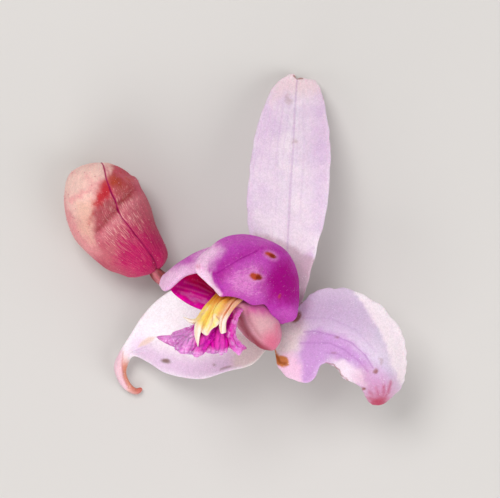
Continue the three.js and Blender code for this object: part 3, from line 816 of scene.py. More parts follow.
TROUGH_RAILS = [
    [from_hub(2.3, -0.6, -2.2), (2.9, -6.6, 8.3), (0.8, -4.6, 10.1), (-2.9, -3, 11.8), (-6.6, -4.65, 12.2)],
    [from_hub(2.3, -0.9, -2.4), (2, -7.8, 8.1), (0, -5.9, 9.8), (-2.8, -4.8, 11.2), (-5.55, -5.65, 12.9)],
    [from_hub(2.2, -0.6, -2.8), (1.1, -9.25, 8.9), (-0.3, -7.2, 10.8), (-1.7, -6.2, 12.8),
        (-2.85, -6.85, 14.2)],
    [from_hub(2.2, 0, -2.9), (1.6, -9.6, 10.6), (0.6, -7.7, 12.6), (-0.4, -6.2, 14.4), (-1.4, -6, 15)],
    [from_hub(2.2, 0.6, -2.8), (2.65, -10.35, 12), (1.75, -8.4, 14), (0.9, -6.8, 15.6), (0.2, -6.3, 16)],
    [from_hub(2.3, 0.9, -2.4), (4.25, -9.3, 11.9), (3.3, -7.6, 13.4), (2.2, -6.6, 14.7), (0.9, -6.3, 15.3)],
    [from_hub(2.3, 0.7, -1.9), (4.2, -7.9, 10.6), (3.7, -6.4, 12), (2.4, -5.5, 13.5), (1.2, -5.5, 14.3)],
]
MIDDLE_LOBE_RAILS = [
    [(-1.7, -5.6, 13.4), (-2.4, -6.4, 14.6), (-3.3, -7.7, 15.2), (-4.3, -8.8, 15), (-5.8, -9.4, 14.6),
     (-7.5, -9.7, 13.8)],
    [(-1.2, -5.6, 14), (-1.7, -6.5, 15.2), (-2.5, -7.8, 16), (-3.3, -8.9, 16.4), (-4.4, -9.9, 16.2),
     (-5.2, -11, 15.6)],
    [(-0.5, -5.6, 14.6), (-1, -6.6, 15.8), (-1.7, -7.8, 16.4), (-2.3, -8.9, 16.9), (-2.9, -10.1, 17),
     (-3.5, -11.3, 16.6)],
    [(0.1, -5.8, 14.9), (-0.3, -6.8, 16), (-0.7, -7.9, 16.6), (-1.1, -9, 16.8), (-1.2, -10, 16.6),
     (-1.3, -10.9, 16)],
    [at_place(247, 301, 14.6), at_place(243.5, 309, 16), at_place(238, 318.5, 17), at_place(235, 331, 17.4),
     at_place(238.5, 342.5, 17), at_place(247, 350, 15.8)],
]
KEEL_RAILS = [
    [at_place(*place) for place in line]
    for line in (
        [(216, 294, 14.9), (210.5, 301.5, 15.8), (206, 309, 16.4), (201, 316, 16.8), (195.5, 322, 16.9)],
        [(220, 294.5, 15.4), (214, 302, 16.3), (209, 310, 17), (203.5, 318, 17.4), (197.5, 327.5, 17.5)],
        [(224.5, 295, 15.8), (218.5, 302.5, 16.7), (213, 311.5, 17.4), (207, 321, 17.8), (202, 333, 17.8)],
        [(229, 296, 16), (223, 303, 17), (218, 311.5, 17.6), (212.5, 322, 18), (207, 335.5, 18)],
        [(233.5, 296.5, 16), (228, 302.5, 17), (223.5, 307.5, 17.6), (220, 313, 17.9), (217, 318, 18)],
        [(238.5, 298, 16), (232, 304.5, 17), (226.5, 312, 17.7), (222.5, 321, 18), (221, 333.5, 18)],
        [(244, 299, 15.8), (237, 305.5, 17), (231, 313, 17.7), (226.5, 321.5, 18.1), (226, 332.5, 18)],
    )
]
KEEL_POINTS = [
    [at_place(*place) for place in line]
    for line in (
        [(204, 315, 16.9), (198, 321, 17.1), (191, 321, 17.2), (183, 317, 17.1)],
        [(204, 314, 17.4), (199.5, 324, 17.8), (197.5, 334, 18), (198, 346.5, 17.9)],
    )
]
COLUMN_ROUTE = [
    from_hub(0.5, -0.3, 0.35), from_hub(3, 0.1, 1.4), from_hub(5.5, 0, 2.8), from_hub(7.8, 0, 3),
    from_hub(9.4, 0, 2.3),
]
FOOT_ROUTE = [from_hub(0.8, -0.5, 0.2), from_hub(1.3, -0.6, -0.8), from_hub(1.6, -0.5, -1.6)]
MAIN_STEM_ROUTE = [
    (15.4, -11.2, 1.1), (12, -9.6, 1.1), (9, -8.2, 1.1), (6, -7.2, 1.1), (3.6, -6.5, 1.1), (2, -6.3, 1.1),
]
OVARY_ROUTE = [
    (12.2, -9.75, 1.5), (11.6, -9.35, 2.75), (10.2, -9.4, 3.4), (8.8, -9.6, 3.9), (7.2, -9.3, 4.9),
    (6.2, -9, 6), from_hub(0.6, 0, 0),
]
BUD_STALK_ROUTE = [
    (3, -6.4, 1.1), (1.6, -6.25, 1.15), (-0.5, -6.1, 1.6), (-3, -5.6, 2.2), (-5.2, -4.9, 2.7),
        (-7, -4.15, 3.1),
    (-7.7, -3.7, 3.35), (-8.4, -2.9, 3.45),
]
MAIN_STEM_RADII = [1.06, 1.06, 1.06, 1.02, 0.97, 0.8]
OVARY_RADII = [0.5, 0.55, 0.62, 0.8, 1, 1, 0.85]
BUD_STALK_RADII = [0.6, 0.6, 0.62, 0.65, 0.69, 0.69, 0.6]
STALK_RINGS, STALK_SIDES = 110, 72
BRACT_THICKNESS = 0.4
BRACT_RAILS = [
    [(12.8, -10.9, 1.05), (11.3, -11.5, 1.9), (9.6, -11.2, 3.5)],
    [(12.9, -10.65, 1.75), (11.2, -11.2, 2.7), (9.6, -11.05, 3.7)],
    [(13, -10.1, 2), (11.2, -10.4, 3.2), (9.7, -10.9, 3.9)],
]
BUD_AXIS = [
    (-8.05, -3.15, 3.4), (-8.45, -2.55, 3.45), (-9.1, -1.85, 3.5), (-10.5, -0.6, 3.6), (-11.7, 0.9, 3.6),
    (-12.7, 2.4, 3.6), (-13.3, 4, 3.6), (-13.5, 5.1, 3.6), (-13.7, 6.1, 3.6), (-13.7, 6.9, 3.6),
    (-13.7, 7.5, 3.6), (-13.7, 7.8, 3.6),
]
BUD_RADII = [1.45, 2.1, 2.65, 3.4, 3.95, 4.2, 4.1, 3.9, 3.5, 2.9, 1.9, 0.9]
TOP_SEAM, LEFT_SEAM, RIGHT_SEAM = 78.0, 198.0, 318.0
BUD_SEAM_PLACES = [
    (103, 165), (104.8, 170.6), (107.2, 181.6), (110.5, 190.2), (115.3, 199.8), (119.1, 212.2),
        (122.9, 218.9),
    (131.6, 229.4), (141.1, 240.9), (149.7, 253.3), (154.5, 259), (159.5, 267),
]
BUD_FLATNESS = 0.86
BUD_WALL = 0.8
BUD_END_SHARES = [0, 0.003, 0.009, 0.02]
BASE_SHARE = 0.09
HEADING_STEP = 0.06
LEAST_RADIUS = 0.3
SEAM_INSET = 0.03
CORE_DEPTH = 0.95
# Turns round the bud, in degrees, between which the upper seam is looked for
SEAM_SEARCH = (40, 110)
# The warts leave this much of each sepal's grid free
EDGE_ROWS, EDGE_COLUMNS = 4, 3
WART_SIZE = 0.00005


# Skins: two body colours, painted layers from the lowest up, and settings. A colour is the name of a setting
# or a display code. A wash is (mask, colour, strength, raggedness), and flecks are (mask, colour, strength,
# lanes, rows). Veins are (count, colour, strength, width).

SKINS = {
    "back_sepal_skin": (
        ("sepal", "sepal_pale"),
        [
            ("lilac", "lilac", 0.5, 0.12), ("pale", "sepal_pale", 0.7, 0.12), ("tip", 0xEFD6DB, 0.8, 0.12),
            # The base colour is painted shade from the hood.
            ("base", 0xC9ADBA, 0.85, 0.1), ("midrib", "vein", 0.32, 0.1), ("brown", "brown", 0.85, 0.4),
        ],
        {"veins": (11, "lilac", 0.12, 0.2), "glints": 0.09, "shine": 0.75},
    ),
    "right_sepal_skin": (
        (0xDACCE0, "sepal"),
        [
            # The base colour is partly the sepal's own whitish colour and partly painted light against the
            # hood's shadow.
            ("grey", 0xC9B8D0, 0.6, 0.1), ("lilac", "lilac", 0.85, 0.15), ("base", 0xEADEDC, 0.9, 0.12),
            # The strongest pale is a painted highlight along the curled rim.
            ("pink", 0xF0C6DE, 0.85, 0.15), ("pale", 0xF8E8EF, 0.95, 0.15), ("midrib", "vein", 0.6, 0.1),
            ("blush", 0xD07CA8, 0.7, 0.2), ("crimson", 0xB41844, 0.85, 0.15), ("brown", "brown", 0.85, 0.4),
            ("orange", 0xC87A34, 0.95, 0.4), ("rust", 0x9A4A14, 0.9, 0.3),
        ],
        {"glints": 0.09, "shine": 0.75},
    ),
    "left_sepal_skin": (
        ("sepal_pale", 0xF7EEF4),
        [
            # The base colour is painted shade from the hood.
            ("lilac", 0xDBB9DC, 0.85, 0.12), ("base", 0xE6DBD2, 0.8, 0.12), ("pale", 0xFBF3F6, 0.7, 0.12),
            ("orange", 0xE0845E, 0.9, 0.12), ("tip", 0xC05A48, 0.85, 0.12), ("outer", 0xECC6D4, 0.85, 0.2),
            ("crook", 0xB85A58, 0.5, 0.2), ("tan", 0xE6C9B4, 0.8, 0.3), ("brown", 0x86685C, 0.9, 0.3),
        ],
        {"veins": (11, "lilac", 0.08, 0.15), "glints": 0.09, "shine": 0.75},
    ),
    "near_petal_skin": (
        ("petal", 0xC24CB8),
        [
            # The deep, pale and tip layers carry some painted crease shade and painted highlights.
            ("deep", "petal_deep", 0.97, 0.35), ("pale", 0xD27CC0, 0.7, 0.45),
            ("pale", 0xE8A8D8, 0.28, 40, 26), ("tip", 0xFBD6EE, 0.92, 0.25),
            ("vein_line", 0x9A0F8A, 0.8, 0.2), ("halo", 0xDFA0CF, 0.45, 0.2),
            ("brown", 0xB84A30, 1.0, 0.12), ("umber", 0x7E2410, 0.9, 0.12),
        ],
        {"veins": (16, "petal_deep", 0.12, 0.2), "glints": 0.1, "grain": 0.14, "gloss": 0.03, "soft": 0.6,
         "shine": 0.22},
    ),
    "far_petal_skin": (
        (0xD070C4, 0xCE70C4),
        [
            ("deep", 0xB03AA6, 0.7, 0.3), ("tip", 0xF8D2EC, 0.95, 0.3), ("tip", 0xD99AD0, 0.3, 30, 24),
        ],
        {"veins": (12, "petal_deep", 0.15, 0.2), "glints": 0.08, "grain": 0.12, "gloss": 0.05, "soft": 0.6},
    ),
    "lip_skin": (
        ("lip", 0xC90A9C),
        [
            # Painted shade at the top of the throat, the petal's painted shadow, painted shade on the pouch's
            # turning side and a painted highlight in its middle.
            ("dark", "lip_dark", 0.9, 0.2), ("streaks", 0xFF78CE, 0.6, 0.12), ("pouch", "pouch", 0.97, 0.1),
            ("pouch_glow", 0xDCB0B4, 0.75, 0.12), ("pouch_pale", 0xC8459A, 0.8, 0.12),
            ("pouch_chin", 0xDC6C8C, 0.85, 0.12), ("pouch_band", 0x8C1830, 0.85, 0.12),
            ("frosted", 0xE89ADA, 0.5, 0.5),
        ],
        {"veins": (18, "lip_dark", 0.2, 0.2), "glints": 0.05, "grain": 0.08, "gloss": 0.05, "soft": 0.6},
    ),
    "lip_lobe_skin": (
        (0xD418B8, 0xE42CC0),
        [
            # The first two layers are painted shade in the furrows and painted highlights on the crests.
            ("dark", 0xA80090, 0.6, 0.3), ("crest", 0xF68CDE, 0.75, 0.5), ("rich", 0xDA00A4, 0.75, 0.4),
            ("frosted", 0xFCC8F4, 0.95, 0.6), ("frosted", 0xC828B4, 0.5, 60, 30),
            ("purple", 0x9A2A7C, 0.7, 0.3), ("brown", 0x8A4458, 0.6, 0.3),
        ],
        {"veins": (22, 0xA80088, 0.3, 0.2), "glints": 0.1, "grain": 0.12, "bump": 0.5, "gloss": 0.06,
         "soft": 0.5},
    ),
    "papilla_skin": (
        (0xE83CC0, 0xDC70CC),
        [],
        {"glints": 0, "gloss": 0.2},
    ),
    "keel_skin": (
        ("keel", 0xFFDC80),
        [
            ("throat", 0xEE8E10, 0.85, 0.12), ("pinkish", 0xF2B49E, 0.8, 0.3),
            # The keels' hollows between the ridges are painted shade.
            ("cream", "keel_tip", 0.95, 0.3), ("groove", 0xE8A038, 0.35, 0.12),
            ("brown", "brown", 0.8, 0.3),
        ],
        {"glints": 0.02, "grain": 0.05, "roughness": 0.36, "soft": 0.5, "shine": 0.15, "bump": 0.15,
         "gloss": 0.25},
    ),
    "column_skin": (
        ("column", 0xF2E2EA),
        [
            ("blush", 0xC95FB4, 0.55, 0.4), ("base", 0xD9C9B4, 0.6, 0.3),
        ],
        {"glints": 0.04, "roughness": 0.36},
    ),
    "anther_cap_skin": (
        (0xF0D9A8, 0xE9C6B0),
        [],
        {"glints": 0.03, "roughness": 0.35},
    ),
    "stalk_skin": (
        ("stalk", 0xA8545A),
        [
            # The hollows between the ribs are painted shade.
            ("groove", 0x5E2A2A, 0.5, 0.4), ("lit", 0xD8808C, 0.7, 0.3), ("speckled", 0xC88A80, 1.0, 0.3),
        ],
        {"glints": 0.03, "roughness": 0.42, "soft": 0.3},
    ),
    "stem_skin": (
        ("stem", 0x8A7450),
        [
            # The hollows between the ribs are painted shade.
            ("groove", 0x574A34, 0.5, 0.4), ("cut", 0xB9B48A, 0.9, 0.3),
        ],
        {"glints": 0.02, "roughness": 0.5, "soft": 0.15},
    ),
    "bract_skin": (
        (0x9A6A60, 0xB98A74),
        [
            ("rim", 0xC9A58C, 0.5, 0.3),
        ],
        {"veins": (9, 0x6E4038, 0.5, 0.2), "glints": 0.02, "roughness": 0.5, "soft": 0.15},
    ),
    "bud_skin": (
        ("bud_rose", 0xC86A76),
        [
            # The cream layer is partly painted light on the upper left flank.
            ("cream", "bud_cream", 0.88, 0.4), ("tan", 0xE6B4A0, 0.65, 0.3), ("blush", 0xE8808E, 0.6, 0.3),
            ("light", 0xE09098, 0.6, 0.3), ("silver", 0xF8C8C0, 0.55, 90, 20),
            ("deep", "bud_deep", 0.8, 0.3), ("flecked", 0xC00A60, 0.85, 76, 14),
            # The umber layer is partly brown marks and partly painted shade above the right fold.
            ("shade", 0x861008, 0.95, 0.3), ("red", 0xC00C20, 0.85, 1.0), ("umber", 0xB04018, 0.85, 0.5),
            ("seam", 0xB0105C, 0.95, 0.12),
        ],
        {"glints": 0.05, "grain": 0.1, "roughness": 0.5, "bump": 0.5},
    ),
    "wart_skin": (
        (0xE08A94, 0xD07080),
        [],
        {"glints": 0, "gloss": 0.2},
    ),
    "furled_petal_skin": (
        ("bud_deep", 0xA01458),
        [],
        {"glints": 0.02, "roughness": 0.45, "soft": 0.2},
    ),
}


def colours():
    return bpy.context.scene.orchid_colours


def sizes():
    return bpy.context.scene.orchid_sizes


def sway(u, grid, height, size, seed):
    """Slow waves of a blade that die out toward its base."""
    return height * drift(grid, size, seed) * smooth_step(u, 0.05, 0.3)


def ragged_sides(sheet, grid, height, size, seed):
    """Shifts that give both side margins small bays and teeth."""
    edge = (2 * np.abs(sheet.vg - 0.5)) ** 6 * np.sign(sheet.vg - 0.5)
    return unit(np.gradient(grid, axis=1)) * (edge * height * drift(grid, size, seed))[..., None]


def sepal_ripple(sheet, height=0.05):
    """The channel over the midrib and long low ridges beside it, on the inner side of a sepal."""
    channel = -0.06 * hump(sheet.vg, 0.5, 0.03) * smooth_step(sheet.ug, 0.02, 0.2)
    return channel + height * 0.4 * np.cos(2 * math.pi * 5 * sheet.vg) * smooth_step(sheet.ug, 0.15, 0.5)


def midrib_keel(sheet):
    """The midrib that stands out on the outer side of a sepal."""
    return 0.16 * hump(sheet.vg, 0.5, 0.035) * (1 - 0.6 * sheet.ug)


def vein_ridges(sheet, count, height):
    return height * hump((sheet.vg * count) % 1, 0.5, 0.12)


# Marks of each piece. Numbers in brackets are picture places.


def back_sepal_marks(points, seen, about):
    """A lilac wash with painted shade down the left edge, a pale middle, a greyish base painted as the hood's
    shade, the midrib and small bruises.
    """
    fine = seen + 1.2 * wander(points, 1.1, 21)
    return {
        "lilac": strongest(
            0.45 * spot(seen, (268, 130), (12, 56), 5, 0.95),
            # This streak down the left edge is painted shade where the blade slopes away.
            0.5 * streak(seen, [(250, 150), (248, 200), (251, 240)], 8, 14),
            0.65 * spot(seen, (322, 138), (16, 48), 0, 0.95),
            0.35 * spot(seen, (322, 215), (9, 36), -10, 0.9),
            0.8 * patch(fine, [(298, 258), (313, 250), (312, 286), (300, 292)], 8),
        ),
        "pale": strongest(
            0.7 * spot(seen, (286, 220), (24, 48), 0, 0.95),
            0.6 * spot(seen, (304, 180), (10, 70), 0, 0.95),
            0.8 * streak(fine, [(316, 252), (308, 272), (303, 292)], 4, 3),
        ),
        "tip": patch(fine, [(270, 60), (330, 60), (330, 88), (306, 96), (288, 92), (272, 104)], 18),
        # The greyish base is painted shade from the hood.
        "base": patch(fine, [(255, 232), (285, 243), (320, 262), (310, 330), (250, 330)], 7),
        "midrib": strongest(
            streak(seen, [(297, 80), (295, 110), (293, 150), (290.5, 185), (288.5, 225),
                (287, 262)], 1.6, 1.4),
            0.4 * streak(seen, [(303, 90), (304, 150), (300, 215)], 1.4, 2.0),
            0.35 * streak(seen, [(283, 100), (278, 150), (276, 215)], 1.4, 2.0),
        ),
        "brown": strongest(
            0.8 * streak(fine, [(294, 75), (298, 77.5), (303, 76.5)], 2.2, 1.6),
            0.5 * spot(fine, (323, 98), (1.2, 3), 10, 0.6),
            0.35 * spot(fine, (289, 100), (2.4, 4.5), 0, 0.8),
            0.35 * spot(fine, (294.5, 141), (3.0, 2.2), 0, 0.8),
        ),
    }


def right_sepal_marks(points, seen, about):
    """A lilac heart, a pale rim painted as a highlight, a base painted paler against the hood's shade, curved
    veins and crimson streaks at the tip.
    """
    bend = wander(points, 0.9, 23)
    fine = seen + bend
    few = seen + 0.35 * bend
    # The pale rim band is a painted highlight where the curled rim faces the light.
    rim_band = [(344, 280), (366, 287), (392, 308), (410, 340), (412, 384), (400, 384), (392, 366),
        (386, 344),
                (377, 326), (366, 308), (354, 292)]
    return {
        "lilac": strongest(
            patch(fine, [(301, 336), (318, 328), (345, 336), (362, 352), (372, 366), (368, 372),
                         (345, 362), (330, 358), (318, 372), (314, 384), (300, 384), (296, 360)], 16),
            0.6 * spot(fine, (375, 380), (16, 14), 30, 0.9),
            0.35 * spot(fine, (340, 318), (34, 20), 20, 0.9),
        ),
        "grey": 0.8 * spot(fine, (345, 305), (34, 22), 20, 0.9),
        # The paler base is partly the sepal's own whitish colour and partly painted light against the hood's
        # shadow.
        "base": patch(fine, [(266, 318), (300, 316), (306, 328), (297, 350), (284, 358), (266, 352)], 14),
        "pink": patch(fine, [(282, 354), (293, 352), (301, 366), (302, 386), (285, 384), (274, 370)], 9),
        "pale": strongest(
            0.95 * patch(fine, rim_band, 6),
            0.6 * patch(fine, [(333, 360), (345, 361), (362, 372), (368, 386), (352, 384), (338, 374)], 6),
        ),
        "midrib": strongest(
            0.9 * streak(seen, [(304, 332), (315, 331), (335, 336), (352, 343), (365, 355),
                (373, 368)], 1.4, 1.2),
            0.75 * streak(seen, [(300, 343), (330, 343), (345, 350), (360, 362), (368, 372)], 1.4, 1.4),
            0.6 * streak(seen, [(327, 353), (338, 354), (348, 360)], 1.2, 1.2),
            0.35 * streak(seen, [(303, 318), (330, 318), (356, 330), (376, 352)], 1.2, 1.6),
        ),
        "crimson": strongest(
            0.6 * streak(few, [(376, 387), (379, 396), (378, 405)], 3, 5, True),
            0.65 * streak(few, [(391, 382), (388, 392), (381, 404)], 3, 4),
            0.6 * streak(few, [(384, 386), (383, 396), (379, 405)], 3, 4),
            0.5 * streak(few, [(370, 392), (374, 399), (377, 405)], 3, 4),
            spot(fine, (379, 403), (11, 7), 5, 0.8),
        ),
        "blush": strongest(
            0.9 * spot(seen, (379, 395), (17, 16), 0, 0.9), 0.5 * spot(seen, (366, 380), (13, 13), 0, 0.9)
        ),
        "brown": strongest(
            0.9 * spot(fine, (375, 371), (2.2, 2.6), 0, 0.6),
            spot(seen, (296, 317), (6.5, 4), -50, 0.3),
            0.5 * spot(fine, (336.5, 336.5), (3, 1.1), 5, 0.7),
            0.45 * spot(fine, (334, 353.5), (3, 1), 5, 0.7),
            0.4 * spot(fine, (381, 360), (1.6, 3), -20, 0.7),
            0.85 * streak(fine, [(319, 373), (325, 364), (333, 364), (340, 374), (352, 384)], 1.4, 1.2),
            0.9 * spot(fine, (362.5, 389.5), (2.6, 2.4), 40, 0.6),
        ),
        "orange": patch(fine, [(268, 344), (273, 346), (278, 355), (287, 358), (289, 365), (282, 367),
            (276, 362), (268, 352)], 2.5),
        "rust": 0.9 * streak(few, [(276, 355), (280, 362), (286, 364)], 2, 2.5),
    }


def left_sepal_marks(points, seen, about):
    """A pale dish with a lilac hollow, a base painted with the hood's shade, and an orange hook."""
    bend = wander(points, 0.9, 25)
    fine = seen + bend
    few = seen + 0.35 * bend
    return {
        "lilac": 0.85 * streak(fine, [(142, 348), (165, 362), (190, 369), (220, 366), (246, 356)], 20, 18),
        # The greyish base is painted shade from the hood.
        "base": patch(fine, [(236, 330), (262, 344), (290, 372), (262, 372), (232, 366)], 12),
        "pale": 0.8 * spot(fine, (180, 318), (40, 26), -20, 0.9),
        "orange": (about["side"] > 0.5) * smooth_step(about["u"], 0.56, 0.68)
        * (0.45 + 0.55 * smooth_step(about["v"], 0.2, 0.8)),
        "tip": smooth_step(about["u"], 0.8, 0.97),
        "brown": strongest(
            spot(few, (165.5, 361), (4.4, 2.4), 12, 0.5),
            0.6 * streak(few, [(221, 369), (230, 366.5)], 2, 1.6),
            0.6 * spot(few, (214, 364.5), (1.8, 1.2), 20, 0.7),
        ),
        "tan": 0.9 * streak(few, [(138, 347), (147, 341), (156, 337)], 6, 3, True),
        "outer": patch(seen, [(108, 344), (122, 350), (121.5, 364), (123, 377), (128, 389), (120, 392),
            (108, 370)], 4),
        "crook": 0.9 * streak(seen, [(123, 352), (122, 364), (123.5, 377), (128.5, 388)], 1.2, 2),
    }


def near_petal_marks(points, seen, about):
    """Magenta toward the back, a paler flank, a white flared edge, two brown scars, painted highlights on the
    top and the left shoulder, and painted shade in the crease and the fold.
    """
    bend = wander(points, 0.9, 27)
    fine = seen + 1.2 * bend
    few = seen + 0.35 * bend
    halo = strongest(
        spot(seen, (271, 255.5), (7.5, 4.6), 25, 0.5), spot(seen, (256.5, 277), (8, 5), 10, 0.5)
    )
    return {
        "deep": strongest(
            patch(fine, [(274, 262), (288, 258), (304, 276), (304, 304), (286, 304), (268, 300),
                (264, 280)], 22),
            0.55 * streak(seen, [(222, 266), (240, 256), (262, 248), (284, 252)], 6, 14),
            # This streak down the crease is painted crease shade.
            0.75 * streak(fine, [(262, 270), (263, 286), (269, 302)], 4, 8),
            0.5 * patch(fine, [(206, 270), (222, 268), (236, 262), (232, 274), (222, 284)], 8),
        ),
        "pale": strongest(
            0.9 * patch(fine, [(226, 280), (236, 270), (250, 264), (262, 266), (258, 290), (252, 298),
                (236, 294)], 20),
            0.55 * spot(seen, (257, 290), (8, 12), 0, 0.9),
            0.25 * patch(fine, [(272, 312), (284, 326), (298, 310), (292, 308)], 8),
            # This streak along the top of the hood is a painted highlight.
            0.4 * streak(fine, [(220, 244), (246, 238), (268, 242)], 8, 10),
        ),
        "tip": strongest(
            # This patch on the upper left shoulder is a painted highlight; the flared edge below is the
            # petal's own pale margin.
            0.9 * patch(fine, [(190, 270), (200, 250), (213, 244), (222, 250), (214, 260), (206, 272)], 16),
            patch(seen, [(194, 266), (204, 268), (211, 274), (213, 282), (222, 294), (219, 300),
                (196, 290)], 4),
        ),
        "vein_line": strongest(
            streak(seen, [(258, 250.6), (242, 258), (226.5, 267), (215, 275)], 1.0, 1.2),
            # This tapered streak by the rolled margin is painted shade in the fold; the line above is the
            # midvein.
            0.9 * streak(seen, [(209, 269), (214.5, 276), (218.5, 286), (222, 291)], 3.5, 4, True),
        ),
        "halo": halo,
        "brown": strongest(
            spot(few, (270.5, 255), (5.6, 2.5), 25, 0.3),
            spot(few, (255.5, 276.5), (6.4, 3.5), 12, 0.25),
            0.4 * spot(few, (198.5, 266.5), (2.8, 1.8), 0, 0.7),
            0.7 * spot(few, (279.5, 296), (1.2, 2.4), 30, 0.6),
        ),
        "umber": strongest(
            spot(few, (272.5, 256.2), (3.6, 1.8), 25, 0.4),
            spot(few, (258.5, 277.6), (3.2, 2.8), 12, 0.4),
        ),
    }


def far_petal_marks(points, seen, about):
    """A pale edge, deeper toward the fold and on the under side."""
    fine = seen + wander(points, 0.9, 29)
    return {
        "tip": strongest(
            patch(fine, [(154, 298), (154, 280), (168, 270), (186, 266), (200, 262), (204, 272),
                (184, 280), (170, 290)], 14),
            0.5 * streak(fine, [(196, 258), (206, 250)], 6, 8),
        ),
        "deep": strongest(
            0.8 * streak(fine, [(184, 264), (198, 256), (212, 248), (226, 240)], 6, 10),
            0.7 * (about["side"] < 0.3),
        ),
    }


def pouch_marks(points, seen, about):
    """The crimson throat with painted shade at its top and its streaks, and the dusty outside of the pouch
    with the petal's painted shadow, painted shade on its turning side and a painted highlight in its middle.
    """
    fine = seen + wander(points, 0.9, 31)
    outside = 1 - smooth_step(about["side"], 0.3, 0.7)
    near_wall = smooth_step(about["v"], 0.3, 0.4)
    return {
        # Painted shade at the top of the throat, under the hood.
        "dark": about["side"] * patch(fine, [(180, 276), (196, 266), (216, 276), (224, 298), (206, 292),
            (194, 284)], 8),
        "streaks": about["side"] * (1 - near_wall)
        * strongest(
            streak(seen, [(176, 286), (192, 290), (208, 295)], 1.2, 1.8),
            streak(seen, [(184, 282), (198, 286), (212, 293)], 1.2, 1.8),
            streak(seen, [(178, 291), (194, 295), (206, 299)], 1.2, 1.8),
            0.7 * streak(seen, [(192, 279), (204, 284), (214, 291)], 1.2, 1.8),
        ),
        "pouch": outside * near_wall,
        # Painted shadow of the near petal on the top of the pouch.
        "pouch_pale": outside * near_wall * patch(fine, [(244, 300), (276, 304), (276, 316), (262, 314),
            (248, 312)], 12),
        # Painted shade along the side where the pouch turns away.
        "pouch_band": outside * near_wall * strongest(
            streak(seen, [(239, 312), (242, 324), (249, 336), (260, 347), (268, 352)], 7, 6),
            0.45 * streak(seen, [(246, 306), (250, 322), (260, 337)], 2, 6),
        ),
        # Painted highlight on the middle of the pouch's bulge.
        "pouch_glow": outside * near_wall * spot(seen, (262, 324), (12, 16), -15, 0.9),
        "pouch_chin": outside * near_wall * strongest(
            spot(seen, (272, 343), (9, 10), 0, 0.9), 0.7 * streak(seen, [(277, 326), (276, 340)], 4, 6)
        ),
        "frosted": about["side"] * streak(fine, [(183, 293), (196, 300), (208, 302)], 3, 4),
    }


def lobe_marks(points, seen, about):
    """Rich magenta with painted shade in the furrows, painted highlights on the crests and a frosted left
    part.
    """
    fine = seen + wander(points, 0.6, 33)
    edge = 1 - smooth_step(about["depth"], 0.1, 0.9)
    return {
        "rich": strongest(
            patch(fine, [(190, 340), (196, 322), (236, 312), (242, 330), (236, 348), (214, 352),
                (196, 350)], 9),
            streak(fine, [(246, 302), (240, 314), (239, 332)], 5, 3),
        ),
        "frosted": strongest(
            0.9 * edge * (1 - 0.6 * smooth_step(about["v"], 0.84, 0.95)),
            0.95 * patch(fine, [(158, 332), (178, 326), (192, 330), (194, 346), (180, 350), (162, 342)], 9),
            0.5 * streak(fine, [(226, 330), (234, 344), (240, 350)], 2, 3),
            0.6 * streak(fine, [(235, 312), (232, 326)], 1.4, 2),
        ),
        "purple": 0.9 * streak(fine, [(156, 338), (162, 343), (170, 345)], 1.6, 2.5),
        # Painted shade in the furrows and painted highlights on the crests of the ruffles.
        "dark": smooth_step(-about["lift"] * np.sign(about["side"] - 0.4), 0.05, 0.4),
        "crest": smooth_step(about["lift"] * np.sign(about["side"] - 0.4), 0.1, 0.4),
        "brown": strongest(
            0.8 * spot(seen, (157, 340), (5, 4), 0, 0.8), 0.9 * spot(seen, (246, 349.5), (3, 2.4), 0, 0.7)
        ),
    }


def keel_marks(points, u):
    """An orange throat, cream points and a few bruises."""
    seen = seen_at(points)
    fine = seen + 0.6 * wander(points, 0.6, 35)
    return {
        "throat": patch(fine, [(206, 286), (248, 286), (244, 299), (226, 303), (208, 303)], 10),
        "cream": strongest(
            smooth_step(u, 0.82, 1.02),
            patch(fine, [(176, 312), (192, 318), (206, 330), (206, 350), (190, 350)], 8),
            0.9 * patch(fine, [(216, 320), (230, 314), (230, 340), (216, 340)], 8),
            0.75 * streak(fine, [(214, 316), (210, 325), (204, 334)], 3, 5),
            0.5 * streak(fine, [(207, 308), (200, 317), (194, 322)], 2, 4),
        ),
        "pinkish": patch(fine, [(228, 302), (246, 296), (240, 314), (230, 326), (220, 326), (219, 314)], 7),
        "brown": strongest(
            spot(fine, (192, 324), (1.2, 1.2), 0, 0.6), spot(fine, (194.5, 322.5), (0.9, 0.9), 0, 0.6)
        ),
    }


def bract_marks(points, seen, about):
    """A lighter rim."""
    return {"rim": 1 - smooth_step(about["depth"], 0.05, 0.5)}


